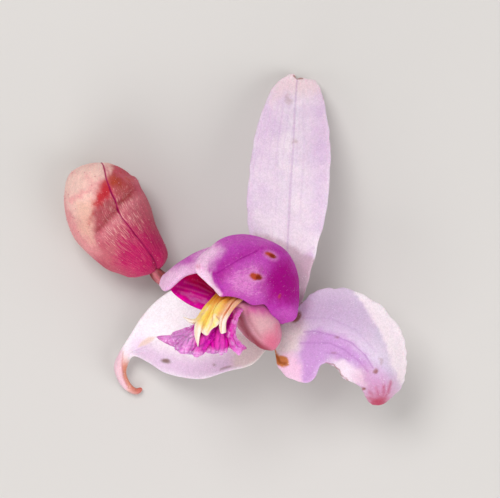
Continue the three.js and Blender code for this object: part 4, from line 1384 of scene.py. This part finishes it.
def bud_marks(points, facing, seam):
    """A cream left flank that is partly painted light, rose skin with fine flecks, painted shade and painted
    light at two folds, and the magenta seams.
    """
    seen = seen_at(points)
    fine = seen + 1.2 * wander(points, 0.9, 37)
    return {
        # The cream upper left flank is partly the bud's own cream and partly painted light on its lit side.
        "cream": strongest(
            patch(fine, [(58, 158), (108, 156), (106, 176), (98, 190), (92, 216), (80, 222),
                (58, 204)], 16),
            0.8 * patch(fine, [(103, 158), (112, 160), (113, 168), (111, 175), (108, 173)], 6),
            0.6 * patch(fine, [(54, 196), (82, 204), (93, 226), (97, 254), (84, 256), (60, 226)], 14),
        ),
        "tan": patch(fine, [(76, 204), (96, 198), (92, 220), (92, 244), (78, 230)], 12),
        "blush": strongest(
            0.9 * streak(fine, [(102, 180), (88, 190), (70, 201)], 4, 7),
            0.9 * streak(fine, [(62, 196), (66, 216), (76, 236), (96, 256)], 8, 12),
            0.5 * streak(fine, [(64, 176), (78, 164), (96, 160)], 6, 10),
            0.6 * streak(fine, [(86, 176), (94, 186), (92, 200)], 4, 8),
        ),
        "deep": strongest(
            0.8 * patch(fine, [(128, 240), (152, 236), (172, 240), (174, 274), (140, 284), (118, 264)], 26),
            0.5 * streak(fine, [(126, 224), (140, 238), (152, 254)], 6, 10),
        ),
        "flecked": strongest(
            0.8 * patch(fine, [(116, 232), (150, 214), (174, 236), (174, 276), (140, 284), (108, 262)], 40),
            0.35 * patch(fine, [(92, 240), (116, 220), (126, 262), (112, 268)], 24),
        ),
        "silver": 0.55 * patch(fine, [(92, 196), (132, 176), (158, 240), (124, 262), (96, 246)], 30),
        "shade": facing * strongest(
            streak(seen, [(137, 188), (129, 195), (119, 203)], 3, 9),
            0.9 * streak(seen, [(118, 209), (108, 219), (97, 230)], 3, 9),
            0.5 * streak(seen, [(112, 208), (104, 216)], 8, 12),
            0.4 * patch(fine, [(116, 174), (134, 184), (140, 194), (122, 206), (116, 196)], 8),
            0.45 * patch(fine, [(99, 202), (113, 198), (120, 208), (106, 222), (94, 232), (92, 218)], 8),
        ),
        "light": facing * strongest(
            0.8 * streak(seen, [(140, 195), (132, 202), (123, 210)], 6, 10),
            0.9 * streak(seen, [(119, 219), (110, 228), (101, 238)], 7, 12),
        ),
        "red": (0.3 + 0.7 * facing) * strongest(
            patch(fine, [(106, 179), (112, 190), (110, 196), (98, 208), (93, 204), (99, 190)], 9),
            0.7 * streak(fine, [(112, 192), (104, 199)], 3, 6),
            0.5 * streak(seen, [(97, 204), (92, 214), (88, 226)], 2, 5, True),
        ),
        "umber": (0.3 + 0.7 * facing) * strongest(
            spot(fine, (114.5, 181), (5.5, 7), -30, 0.8),
            0.95 * streak(fine, [(113, 165), (122, 169), (131, 178)], 7, 8),
            # This wider spot is painted shade above the right fold.
            0.4 * spot(fine, (122, 186), (9, 9), 0, 0.8),
        ),
        "seam": seam,
    }


# Steps


# Name, place, size and power of each lamp, in metres and watts
LIGHTS = (
    ("key_light", (-0.1, 0.15, 0.34), 0.18, 0.74),
    ("fill_light", (0.24, -0.14, 0.26), 0.3, 0.55),
    ("low_light", (-0.1, -0.28, 0.18), 0.25, 0.4),
)
LIT_POINT = np.array([0.0, 0.0, 0.008])
FLOOR_REACH = 400.0


class ORCHID_OT_stage(bpy.types.Operator):
    """Set up the camera, the soft lights and the pale floor"""

    bl_idname = "orchid.stage"
    bl_label = "Stage"

    def execute(self, context):
        scene = context.scene
        scene.view_settings.view_transform = "Standard"
        camera = bpy.data.objects.new("camera", bpy.data.cameras.new("camera"))
        camera.data.sensor_width = SENSOR_WIDTH
        camera.data.lens = SENSOR_WIDTH * (EYE[2] - PLANE_HEIGHT) / FRAME_WIDTH
        camera.location = EYE * MM
        scene.collection.objects.link(camera)
        scene.camera = camera
        for name, place, size, power in LIGHTS:
            light = bpy.data.lights.new(name, "AREA")
            light.size = size
            light.energy = power
            lamp = bpy.data.objects.new(name, light)
            lamp.location = place
            x, y, z = LIT_POINT - np.array(place)
            lamp.rotation_euler = (math.atan2(math.hypot(x, y), -z), 0, math.atan2(y, x) - math.pi / 2)
            scene.collection.objects.link(lamp)
        world = bpy.data.worlds.new("soft_room")
        world.use_nodes = True
        background = world.node_tree.nodes["Background"]
        background.inputs["Color"].default_value = (1, 0.98, 0.97, 1)
        background.inputs["Strength"].default_value = 0.4
        scene.world = world
        points = [(x * FLOOR_REACH, y * FLOOR_REACH, 0.0) for x, y in ((-1, -1), (1, -1), (1, 1), (-1, 1))]
        mesh = bpy.data.meshes.new("floor")
        mesh.from_pydata((np.array(points) * MM).tolist(), [], [(0, 1, 2, 3)])
        floor = bpy.data.objects.new("floor", mesh)
        scene.collection.objects.link(floor)
        material = bpy.data.materials.new("pale_floor")
        material.use_nodes = True
        shader = material.node_tree.nodes["Principled BSDF"]
        shader.inputs["Base Color"].default_value = rgba("floor")
        shader.inputs["Roughness"].default_value = 0.8
        mesh.materials.append(material)
        return {"FINISHED"}


# Thickness of a margin as a share of the thickness at the midrib
SEPAL_MARGIN = 0.55
PETAL_MARGIN = 0.6


class ORCHID_OT_sepals(bpy.types.Operator):
    """Build the three sepals of the open flower"""

    bl_idname = "orchid.sepals"
    bl_label = "Sepals"

    def execute(self, context):
        self.back_sepal()
        self.right_sepal()
        self.left_sepal()
        return {"FINISHED"}

    def outer_relief(self, sheet):
        return midrib_keel(sheet) + vein_ridges(sheet, 9, sizes().vein_relief / MM)

    def back_sepal(self):
        def reshape(sheet, grid):
            end = smooth_step(sheet.ug, 0.93, 1.0)
            reach = 0.35 * hump(sheet.vg, 0.16, 0.16) - 0.28 * hump(sheet.vg, 0.42, 0.09)
            way = unit(np.gradient(grid, axis=0))
            return grid + way * (end * reach)[..., None] + ragged_sides(sheet, grid, 0.05, 1.6, 11)

        def wave(u, v, grid):
            return sway(u, grid, 0.12, 9.0, 3)

        # The normals of this sheet and of the next point down, so the inner side is the under side.
        sheet = Sheet(BACK_SEPAL_RAILS, 190, 56, wave, reshape)
        reliefs = {"top_relief": self.outer_relief(sheet), "under_relief": sepal_ripple(sheet)}
        sheet_piece("back_sepal", sheet, sizes().sepal_thickness / MM, "sepal", ["dorsal_sepal"],
                    skin_of("back_sepal_skin"), back_sepal_marks, SEPAL_MARGIN, **reliefs)

    def right_sepal(self):
        def wave(u, v, grid):
            return sway(u, grid, 0.1, 6.0, 5)

        def reshape(sheet, grid):
            return grid + ragged_sides(sheet, grid, 0.07, 1.2, 12)

        sheet = Sheet(RIGHT_SEPAL_RAILS, 190, 76, wave, reshape)
        reliefs = {"top_relief": self.outer_relief(sheet), "under_relief": 0.3 * sepal_ripple(sheet, 0.03)}
        sheet_piece("right_sepal", sheet, sizes().sepal_thickness / MM, "sepal", ["lateral_sepal_right"],
                    skin_of("right_sepal_skin"), right_sepal_marks, SEPAL_MARGIN, **reliefs)

    def left_sepal(self):
        def wave(u, v, grid):
            return sway(u, grid, 0.08, 6.0, 7) * (1 - smooth_step(u, 0.55, 0.7))

        def reshape(sheet, grid):
            middle = grid[:, grid.shape[1] // 2][:, None]
            from_end = 1 - np.clip((sheet.ug - 0.955) / 0.045, 0, 1)
            return middle + (grid - middle) * round_over(from_end, 0.01)[..., None]

        sheet = Sheet(LEFT_SEPAL_RAILS, 210, 60, wave, reshape)
        ripple = sepal_ripple(sheet, 0.02) * (1 - smooth_step(sheet.ug, 0.5, 0.65))
        keel = midrib_keel(sheet) * (1 - 0.7 * smooth_step(sheet.ug, 0.5, 0.7))
        reliefs = {"top_relief": ripple, "under_relief": keel}
        sheet_piece("left_sepal", sheet, sizes().sepal_thickness / MM, "sepal_pale", ["lateral_sepal_left"],
                    skin_of("left_sepal_skin"), left_sepal_marks, SEPAL_MARGIN, **reliefs)


class ORCHID_OT_petals(bpy.types.Operator):
    """Build the two petals that make the hood"""

    bl_idname = "orchid.petals"
    bl_label = "Petals"

    def execute(self, context):
        self.near_petal()
        self.far_petal()
        return {"FINISHED"}

    def near_petal(self):
        def wave(u, v, grid):
            seen = seen_at(grid)
            front = smooth_step(u, 0.6, 0.7)
            fold = [(210, 270), (215, 277), (219, 287), (222, 293)]
            crease = -0.36 * front * streak(seen, fold, 2, 8, True)
            edge = [(190, 268), (204, 268), (211, 275), (216, 288), (219, 300), (200, 296)]
            flare = 0.28 * front * patch(seen, edge, 6)
            dent = -0.16 * hump(u, 0.2, 0.1) * hump(v, 0.25, 0.1)
            return sway(u, grid, 0.08, 4.0, 8) + crease + flare + dent

        sheet = Sheet(NEAR_PETAL_RAILS, 120, 96, wave)
        ridges = vein_ridges(sheet, 12, 0.02)
        sheet_piece("near_petal", sheet, sizes().petal_thickness / MM, "petal", ["petal_near"],
                    skin_of("near_petal_skin"), near_petal_marks, PETAL_MARGIN, top_relief=-ridges,
                    under_relief=ridges)

    def far_petal(self):
        def wave(u, v, grid):
            return sway(u, grid, 0.06, 4.0, 9)

        sheet = Sheet(FAR_PETAL_RAILS, 110, 70, wave)
        sheet_piece("far_petal", sheet, sizes().petal_thickness / MM, "petal", ["petal_far"],
                    skin_of("far_petal_skin"), far_petal_marks, PETAL_MARGIN)


# Papillae for each square metre, and the radius of one
PAPILLA_DENSITY = 14e6
PAPILLA_SIZE = 0.00004


class ORCHID_OT_lip(bpy.types.Operator):
    """Build the lip with its side lobes and its ruffled middle lobe"""

    bl_idname = "orchid.lip"
    bl_label = "Lip"

    def execute(self, context):
        self.pouch()
        self.middle_lobe()
        return {"FINISHED"}

    def pouch(self):
        def belly(u, v, grid):
            middle = np.sin(math.pi * np.clip(u, 0, 1)) ** 0.7
            hollows = 0.09 * hump(v, 0.6, 0.04) - 0.4 * hump(v, 0.8, 0.12)
            return hollows * middle + 0.03 * drift(grid, 2.0, 40)

        trough = Sheet(TROUGH_RAILS, 90, 110, belly)
        sheet_piece("lip_side_lobes", trough, sizes().lip_thickness / MM, "lip", ["lip"],
                    skin_of("lip_skin"), pouch_marks, PETAL_MARGIN)

    def middle_lobe(self):
        thickness = sizes().lip_thickness / MM
        ruffle = sizes().ruffle_height / MM

        def frill(u, v, grid):
            fold = np.sin(2 * math.pi * 4.5 * v + 0.8 * np.sin(2 * math.pi * 2.2 * v))
            pleat = np.sin(2 * math.pi * 11 * v + 1.6 * drift(grid, 2.4, 41))
            crimp = np.sin(2 * math.pi * 25 * v + 2.4 * drift(grid, 1.3, 42))
            spread = smooth_step(u, 0.2, 0.8)
            fine = spread * (0.42 * pleat + 0.2 * crimp) + 0.1 * drift(grid, 0.6, 43)
            return ruffle * (u**2 * fold + fine)

        middle = Sheet(MIDDLE_LOBE_RAILS, 80, 150, frill)
        skin = skin_of("lip_lobe_skin")
        sheet_piece("lip_middle_lobe", middle, thickness, "lip", ["lip"], skin, lobe_marks)
        points, faces, about = middle.body(thickness)
        worn = (about["side"] < 0.4) * (0.35 + 0.65 * smooth_step(drift(points, 1.2, 44), -0.4, 0.6))
        bead_piece("lip_papillae", mesh_of("lobe_surface", points, faces), worn, "lip", ["lip"],
                   Density=PAPILLA_DENSITY, Bead_Size=PAPILLA_SIZE, Stretch=1.3, Seed=5,
                   Material=skin_of("papilla_skin"))


KEEL_THICKNESS = 0.45


class ORCHID_OT_keels(bpy.types.Operator):
    """Build the yellow keels of the lip and their free points"""

    bl_idname = "orchid.keels"
    bl_label = "Keels"

    def execute(self, context):
        pad = Sheet(KEEL_RAILS, 90, 150)
        lanes = math.pi * 6 * pad.vg
        ridge = 0.34 * np.minimum(1, 3 * pad.ug) * np.sin(lanes) ** 2
        wrinkle = 0.02 * np.sin(80 * pad.vg + 2 * drift(pad.grid, 2.4, 52))
        crest = ridge * (1 + 0.15 * drift(pad.grid, 2.4, 51)) + wrinkle
        points, faces, about = pad.body(KEEL_THICKNESS, 0.8, top_relief=crest)
        skin = skin_of("keel_skin")
        masks = keel_marks(points, about["u"])
        # Painted shade in the hollows between the ridges.
        masks["groove"] = np.concatenate([np.cos(lanes.ravel()) ** 8, np.zeros(len(points) - lanes.size)])
        make_piece("lip_keels_fine", points, faces, "keels", ["lip_keels"], skin, masks)
        routes = [
            (KEEL_POINTS[0], [0.3, 0.32, 0.2, 0.03], 30, True, True),
            (KEEL_POINTS[1], [0.36, 0.42, 0.28, 0.03], 30, True, True),
        ]
        horns = ribbed("lip_keel_points", routes, 20, 3, 0.08, skin)
        masks = keel_marks(points_of(horns), 0.75 + 0.4 * values_of(horns, "along"))
        place_piece("lip_keel_points", horns, "keels", ["lip_keels"], masks)
        return {"FINISHED"}


CAP_CENTRE = from_hub(10.4, 0.1, 2)
CAP_RADIUS = 0.8
CAP_FLATNESS = 0.75


class ORCHID_OT_column(bpy.types.Operator):
    """Build the column and its cap"""

    bl_idname = "orchid.column"
    bl_label = "Column"

    def execute(self, context):
        skin = skin_of("column_skin")
        routes = [
            (COLUMN_ROUTE, [0.6, 0.65, 0.8, 0.95, 1.0], 70, True, True),
            (FOOT_ROUTE, [0.5, 0.42, 0.4], 16, True, True),
        ]
        body = ribbed("column_fine", routes, 48, 2, 0.1, skin)
        along = values_of(body, "along")
        masks = {"blush": smooth_step(along, 0.45, 1.0), "base": 1 - smooth_step(along, 0.0, 0.3)}
        place_piece("column_fine", body, "column", ["column"], masks)
        self.cap()
        return {"FINISHED"}

    def cap(self):
        shape = bmesh.new()
        bmesh.ops.create_icosphere(shape, subdivisions=5, radius=CAP_RADIUS)
        centre = np.array(CAP_CENTRE) + TO_ORIGIN
        for vertex in shape.verts:
            x, y, z = vertex.co
            lobes = 1 - 0.16 * hump(x, 0, 0.12) - 0.05 * hump(y, 0, 0.1)
            vertex.co = (centre + np.array([x, y, z * CAP_FLATNESS]) * lobes) * MM
        mesh = bpy.data.meshes.new("anther_cap_fine")
        shape.to_mesh(mesh)
        shape.free()
        mesh.shade_smooth()
        mesh.materials.append(skin_of("anther_cap_skin"))
        place_piece("anther_cap_fine", mesh, "keels", ["anther_cap"], {})


class ORCHID_OT_stems(bpy.types.Operator):
    """Build the cut stem, the ovary, the bud's stalk and the bract"""

    bl_idname = "orchid.stems"
    bl_label = "Stems"

    def execute(self, context):
        stalk_skin = skin_of("stalk_skin")
        stem_skin = skin_of("stem_skin")
        for name, node, slot, route, radii, ribs, depth, skin in (
            ("stem_fine", "stem", "stem", MAIN_STEM_ROUTE, MAIN_STEM_RADII, 13, 0.03, stem_skin),
            ("ovary_fine", "ovary", "stalk", OVARY_ROUTE, OVARY_RADII, 6, 0.09, stalk_skin),
            ("bud_stalk_fine", "bud_stalk", "stalk", BUD_STALK_ROUTE, BUD_STALK_RADII, 6, 0.06, stalk_skin),
        ):
            cut_square = name == "stem_fine"
            routes = [(route, radii, STALK_RINGS, not cut_square, True)]
            body = ribbed(name, routes, STALK_SIDES, ribs, depth, skin)
            points = points_of(body)
            start = np.array(route[0])
            heading = unit(np.array(route[1]) - start)
            masks = {
                "cut": 1 - smooth_step((points - start) @ heading, 0.0, 0.02),
                "lit": streak(seen_at(points), [(152, 268), (158, 280), (164, 288)], 5, 4),
                "speckled": 0.5 * smooth_step(drift(points, 0.5, 71), 0.9, 1.4),
            }
            place_piece(name, body, slot, [node], masks)
        sheet = Sheet(BRACT_RAILS, 50, 40)
        sheet_piece("flower_bract_fine", sheet, BRACT_THICKNESS, "bract", ["flower_bract"],
                    skin_of("bract_skin"), bract_marks)
        return {"FINISHED"}


class ORCHID_OT_bud(bpy.types.Operator):
    """Build the bud from its three thick sepals round the furled petals"""

    bl_idname = "orchid.bud"
    bl_label = "Bud"

    def execute(self, context):
        skin = skin_of("bud_skin")
        self.skins = []
        for name, node, slot, start, end in (
            ("bud_sepal_left_fine", "bud_sepal_left", "bud_pale", TOP_SEAM, LEFT_SEAM),
            ("bud_sepal_right_fine", "bud_sepal_right", "bud_rose", RIGHT_SEAM - 360, TOP_SEAM),
            ("bud_sepal_back_fine", "bud_sepal_back", "bud_rose", LEFT_SEAM, RIGHT_SEAM),
        ):
            self.shell(name, node, slot, start, end, skin)
        self.core()
        self.warts()
        return {"FINISHED"}

    def warts(self):
        grids, faces = [], []
        start = 0
        for grid in self.skins:
            index = start + np.arange(grid.shape[0] * grid.shape[1]).reshape(grid.shape[:2])
            faces += quads_of(index).reshape(-1, 4).tolist()
            grids.append(grid.reshape(-1, 3))
            start += index.size
        surface = mesh_of("bud_surface", np.vstack(grids), faces)
        area = sum(face.area for face in surface.polygons)
        bead_piece("bud_warts", surface, np.ones(start), "bud_rose", ["bud_sepal_left"],
                   Density=sizes().wart_count / area, Bead_Size=WART_SIZE, Stretch=1.6, Seed=3,
                   Material=skin_of("wart_skin"))

    def surface(self, height, turn, depth):
        """Places on the bud at shares of its height and turns round it, some depth below its surface."""
        shares = height[:, 0]
        ahead = curve_at(BUD_AXIS, np.clip(shares + HEADING_STEP, 0, 1))
        behind = curve_at(BUD_AXIS, np.clip(shares - HEADING_STEP, 0, 1))
        upward = np.array([0.0, 0.0, 1.0])
        sideways = unit(np.cross(unit(ahead - behind), upward))
        reach = np.maximum(radius_at(BUD_RADII, shares)[:, None] - depth, LEAST_RADIUS)
        return (
            curve_at(BUD_AXIS, shares)[:, None]
            + sideways[:, None] * (reach * np.cos(turn))[..., None]
            + upward * (reach * BUD_FLATNESS * np.sin(turn))[..., None]
        )

    def seam_line(self):
        """The turn of the upper seam at even heights, from the places where the seam is seen."""
        heights, turns = np.linspace(0, 1, 161), np.radians(np.linspace(*SEAM_SEARCH, 141))
        height, turn = np.meshgrid(heights, turns, indexing="ij")
        seen = seen_at(self.surface(height, turn, np.zeros_like(height)))
        found = []
        for place in BUD_SEAM_PLACES:
            gap = np.linalg.norm(seen - np.array(place), axis=-1)
            row, column = np.unravel_index(gap.argmin(), gap.shape)
            found.append((height[row, column], turn[row, column]))
        found.sort()
        return np.array(found)

    def shell(self, name, node, slot, start, end, skin):
        """One sepal of the bud, from one seam to the next, with its edges rolled in."""
        u, v = close_ended(110, BUD_END_SHARES), close_ended(80, SIDE_SHARES)
        height, share = np.meshgrid(u, v, indexing="ij")
        radius = np.maximum(radius_at(BUD_RADII, u), LEAST_RADIUS)[:, None]
        heights, turns = self.seam_line().T
        top = np.interp(u, heights, turns)[:, None]
        first = top if start == TOP_SEAM else np.full_like(top, math.radians(start))
        last = top if end == TOP_SEAM else np.full_like(top, math.radians(end))
        edge = np.minimum(share, 1 - share) * radius * (last - first)
        inset = SEAM_INSET / radius
        turn = first + inset + (last - first - 2 * inset) * share
        low = 1 - smooth_step(height, 0.02, 0.16)
        roll = (0.1 + 0.7 * low) * (1 - smooth_step(edge, 0, 0.22 + 0.9 * low)) ** 1.5
        outer_depth = roll + 1.05 * (1 - round_over(np.minimum(height / BASE_SHARE, 1)))
        places = self.surface(height, turn, outer_depth)
        normals = grid_normals(places)
        seen = seen_at(places)
        facing = smooth_step(normals[..., 2], 0.3, 0.8)
        fold = strongest(
            streak(seen, [(137, 188), (129, 195), (119, 203)], 3, 9),
            streak(seen, [(118, 209), (108, 219), (97, 230), (92, 238)], 3, 9),
        )
        bulge = strongest(
            streak(seen, [(128, 182), (119, 192)], 8, 14), streak(seen, [(112, 206), (102, 214),
                (92, 224)], 8, 14)
        )
        relief = facing * (0.16 * bulge - 0.26 * fold) + 0.05 * drift(places, 2.6, 61)
        ridges = 0.02 * np.cos(2 * math.pi * 9 * share) * smooth_step(height, 0.1, 0.3)
        places = places + normals * (relief + ridges)[..., None]
        self.skins.append(places[EDGE_ROWS:-EDGE_ROWS, EDGE_COLUMNS:-EDGE_COLUMNS])
        inner = self.surface(height, turn, np.maximum(BUD_WALL, outer_depth + 0.12))
        outside = np.arange(height.size).reshape(height.shape)
        inside = outside + height.size
        sides = (
            quads_of(outside).reshape(-1, 4), quads_of(inside).reshape(-1, 4)[:, ::-1],
            strip_of(outside[:, 0], inside[:, 0])[:, ::-1], strip_of(outside[:, -1], inside[:, -1]),
            strip_of(outside[0], inside[0]), strip_of(outside[-1], inside[-1])[:, ::-1],
        )
        points = np.vstack([places.reshape(-1, 3), inner.reshape(-1, 3)])
        seam = 1 - smooth_step(edge, 0.03, 0.1)
        both = [np.tile(values.ravel(), 2) for values in (facing, seam, share, height)]
        masks = bud_marks(points, *both[:2])
        faces = np.vstack(sides).tolist()
        make_piece(name, points, faces, slot, [node], skin, masks, np.stack(both[2:], -1))

    def core(self):
        """The furled petals, closed at both ends by fans."""
        rings, sides = 60, 72
        u = np.linspace(0.02, 0.9, rings)
        turns = -np.arange(sides) * 2 * math.pi / sides
        height, turn = np.meshgrid(u, turns, indexing="ij")
        grid = self.surface(height, turn, CORE_DEPTH + 0.06 * np.cos(9 * turn))
        index = np.arange(rings * sides).reshape(rings, sides)
        near, far = index[:-1], index[1:]
        faces = np.stack([near, np.roll(near, -1, 1), np.roll(far, -1, 1), far], -1).reshape(-1, 4).tolist()
        points = np.vstack([grid.reshape(-1, 3), grid[0].mean(0)[None], grid[-1].mean(0)[None]])
        for k in range(sides):
            n = (k + 1) % sides
            faces.append([rings * sides, int(index[0, n]), int(index[0, k])])
            faces.append([rings * sides + 1, int(index[-1, k]), int(index[-1, n])])
        make_piece("bud_petals_fine", points, faces, "bud_rose", ["bud_petals"], skin_of("furled_petal_skin"))


class ORCHID_PT_panel(bpy.types.Panel):
    """The orchid's pieces, sizes and colours"""

    bl_idname = "ORCHID_PT_panel"
    bl_label = "Pine Pink Orchid"
    bl_space_type = "VIEW_3D"
    bl_region_type = "UI"
    bl_category = "Orchid"

    def draw(self, context):
        column = self.layout.column()
        for operator in OPERATORS:
            column.operator(operator.bl_idname)
        for group in (context.scene.orchid_sizes, context.scene.orchid_colours):
            for name in group.__annotations__:
                column.prop(group, name)


OPERATORS = (
    ORCHID_OT_stage,
    ORCHID_OT_sepals,
    ORCHID_OT_petals,
    ORCHID_OT_lip,
    ORCHID_OT_keels,
    ORCHID_OT_column,
    ORCHID_OT_stems,
    ORCHID_OT_bud,
)
CLASSES = (OrchidSizes, OrchidColours, *OPERATORS, ORCHID_PT_panel)


def register():
    for item in CLASSES:
        bpy.utils.register_class(item)
    bpy.types.Scene.orchid_sizes = PointerProperty(type=OrchidSizes)
    bpy.types.Scene.orchid_colours = PointerProperty(type=OrchidColours)


def unregister():
    del bpy.types.Scene.orchid_colours
    del bpy.types.Scene.orchid_sizes
    for item in reversed(CLASSES):
        bpy.utils.unregister_class(item)


def main():
    register()
    bpy.ops.orchid.stage()
    bpy.ops.orchid.sepals()
    bpy.ops.orchid.petals()
    bpy.ops.orchid.lip()
    bpy.ops.orchid.keels()
    bpy.ops.orchid.column()
    bpy.ops.orchid.stems()
    bpy.ops.orchid.bud()


if __name__ == "__main__":
    main()
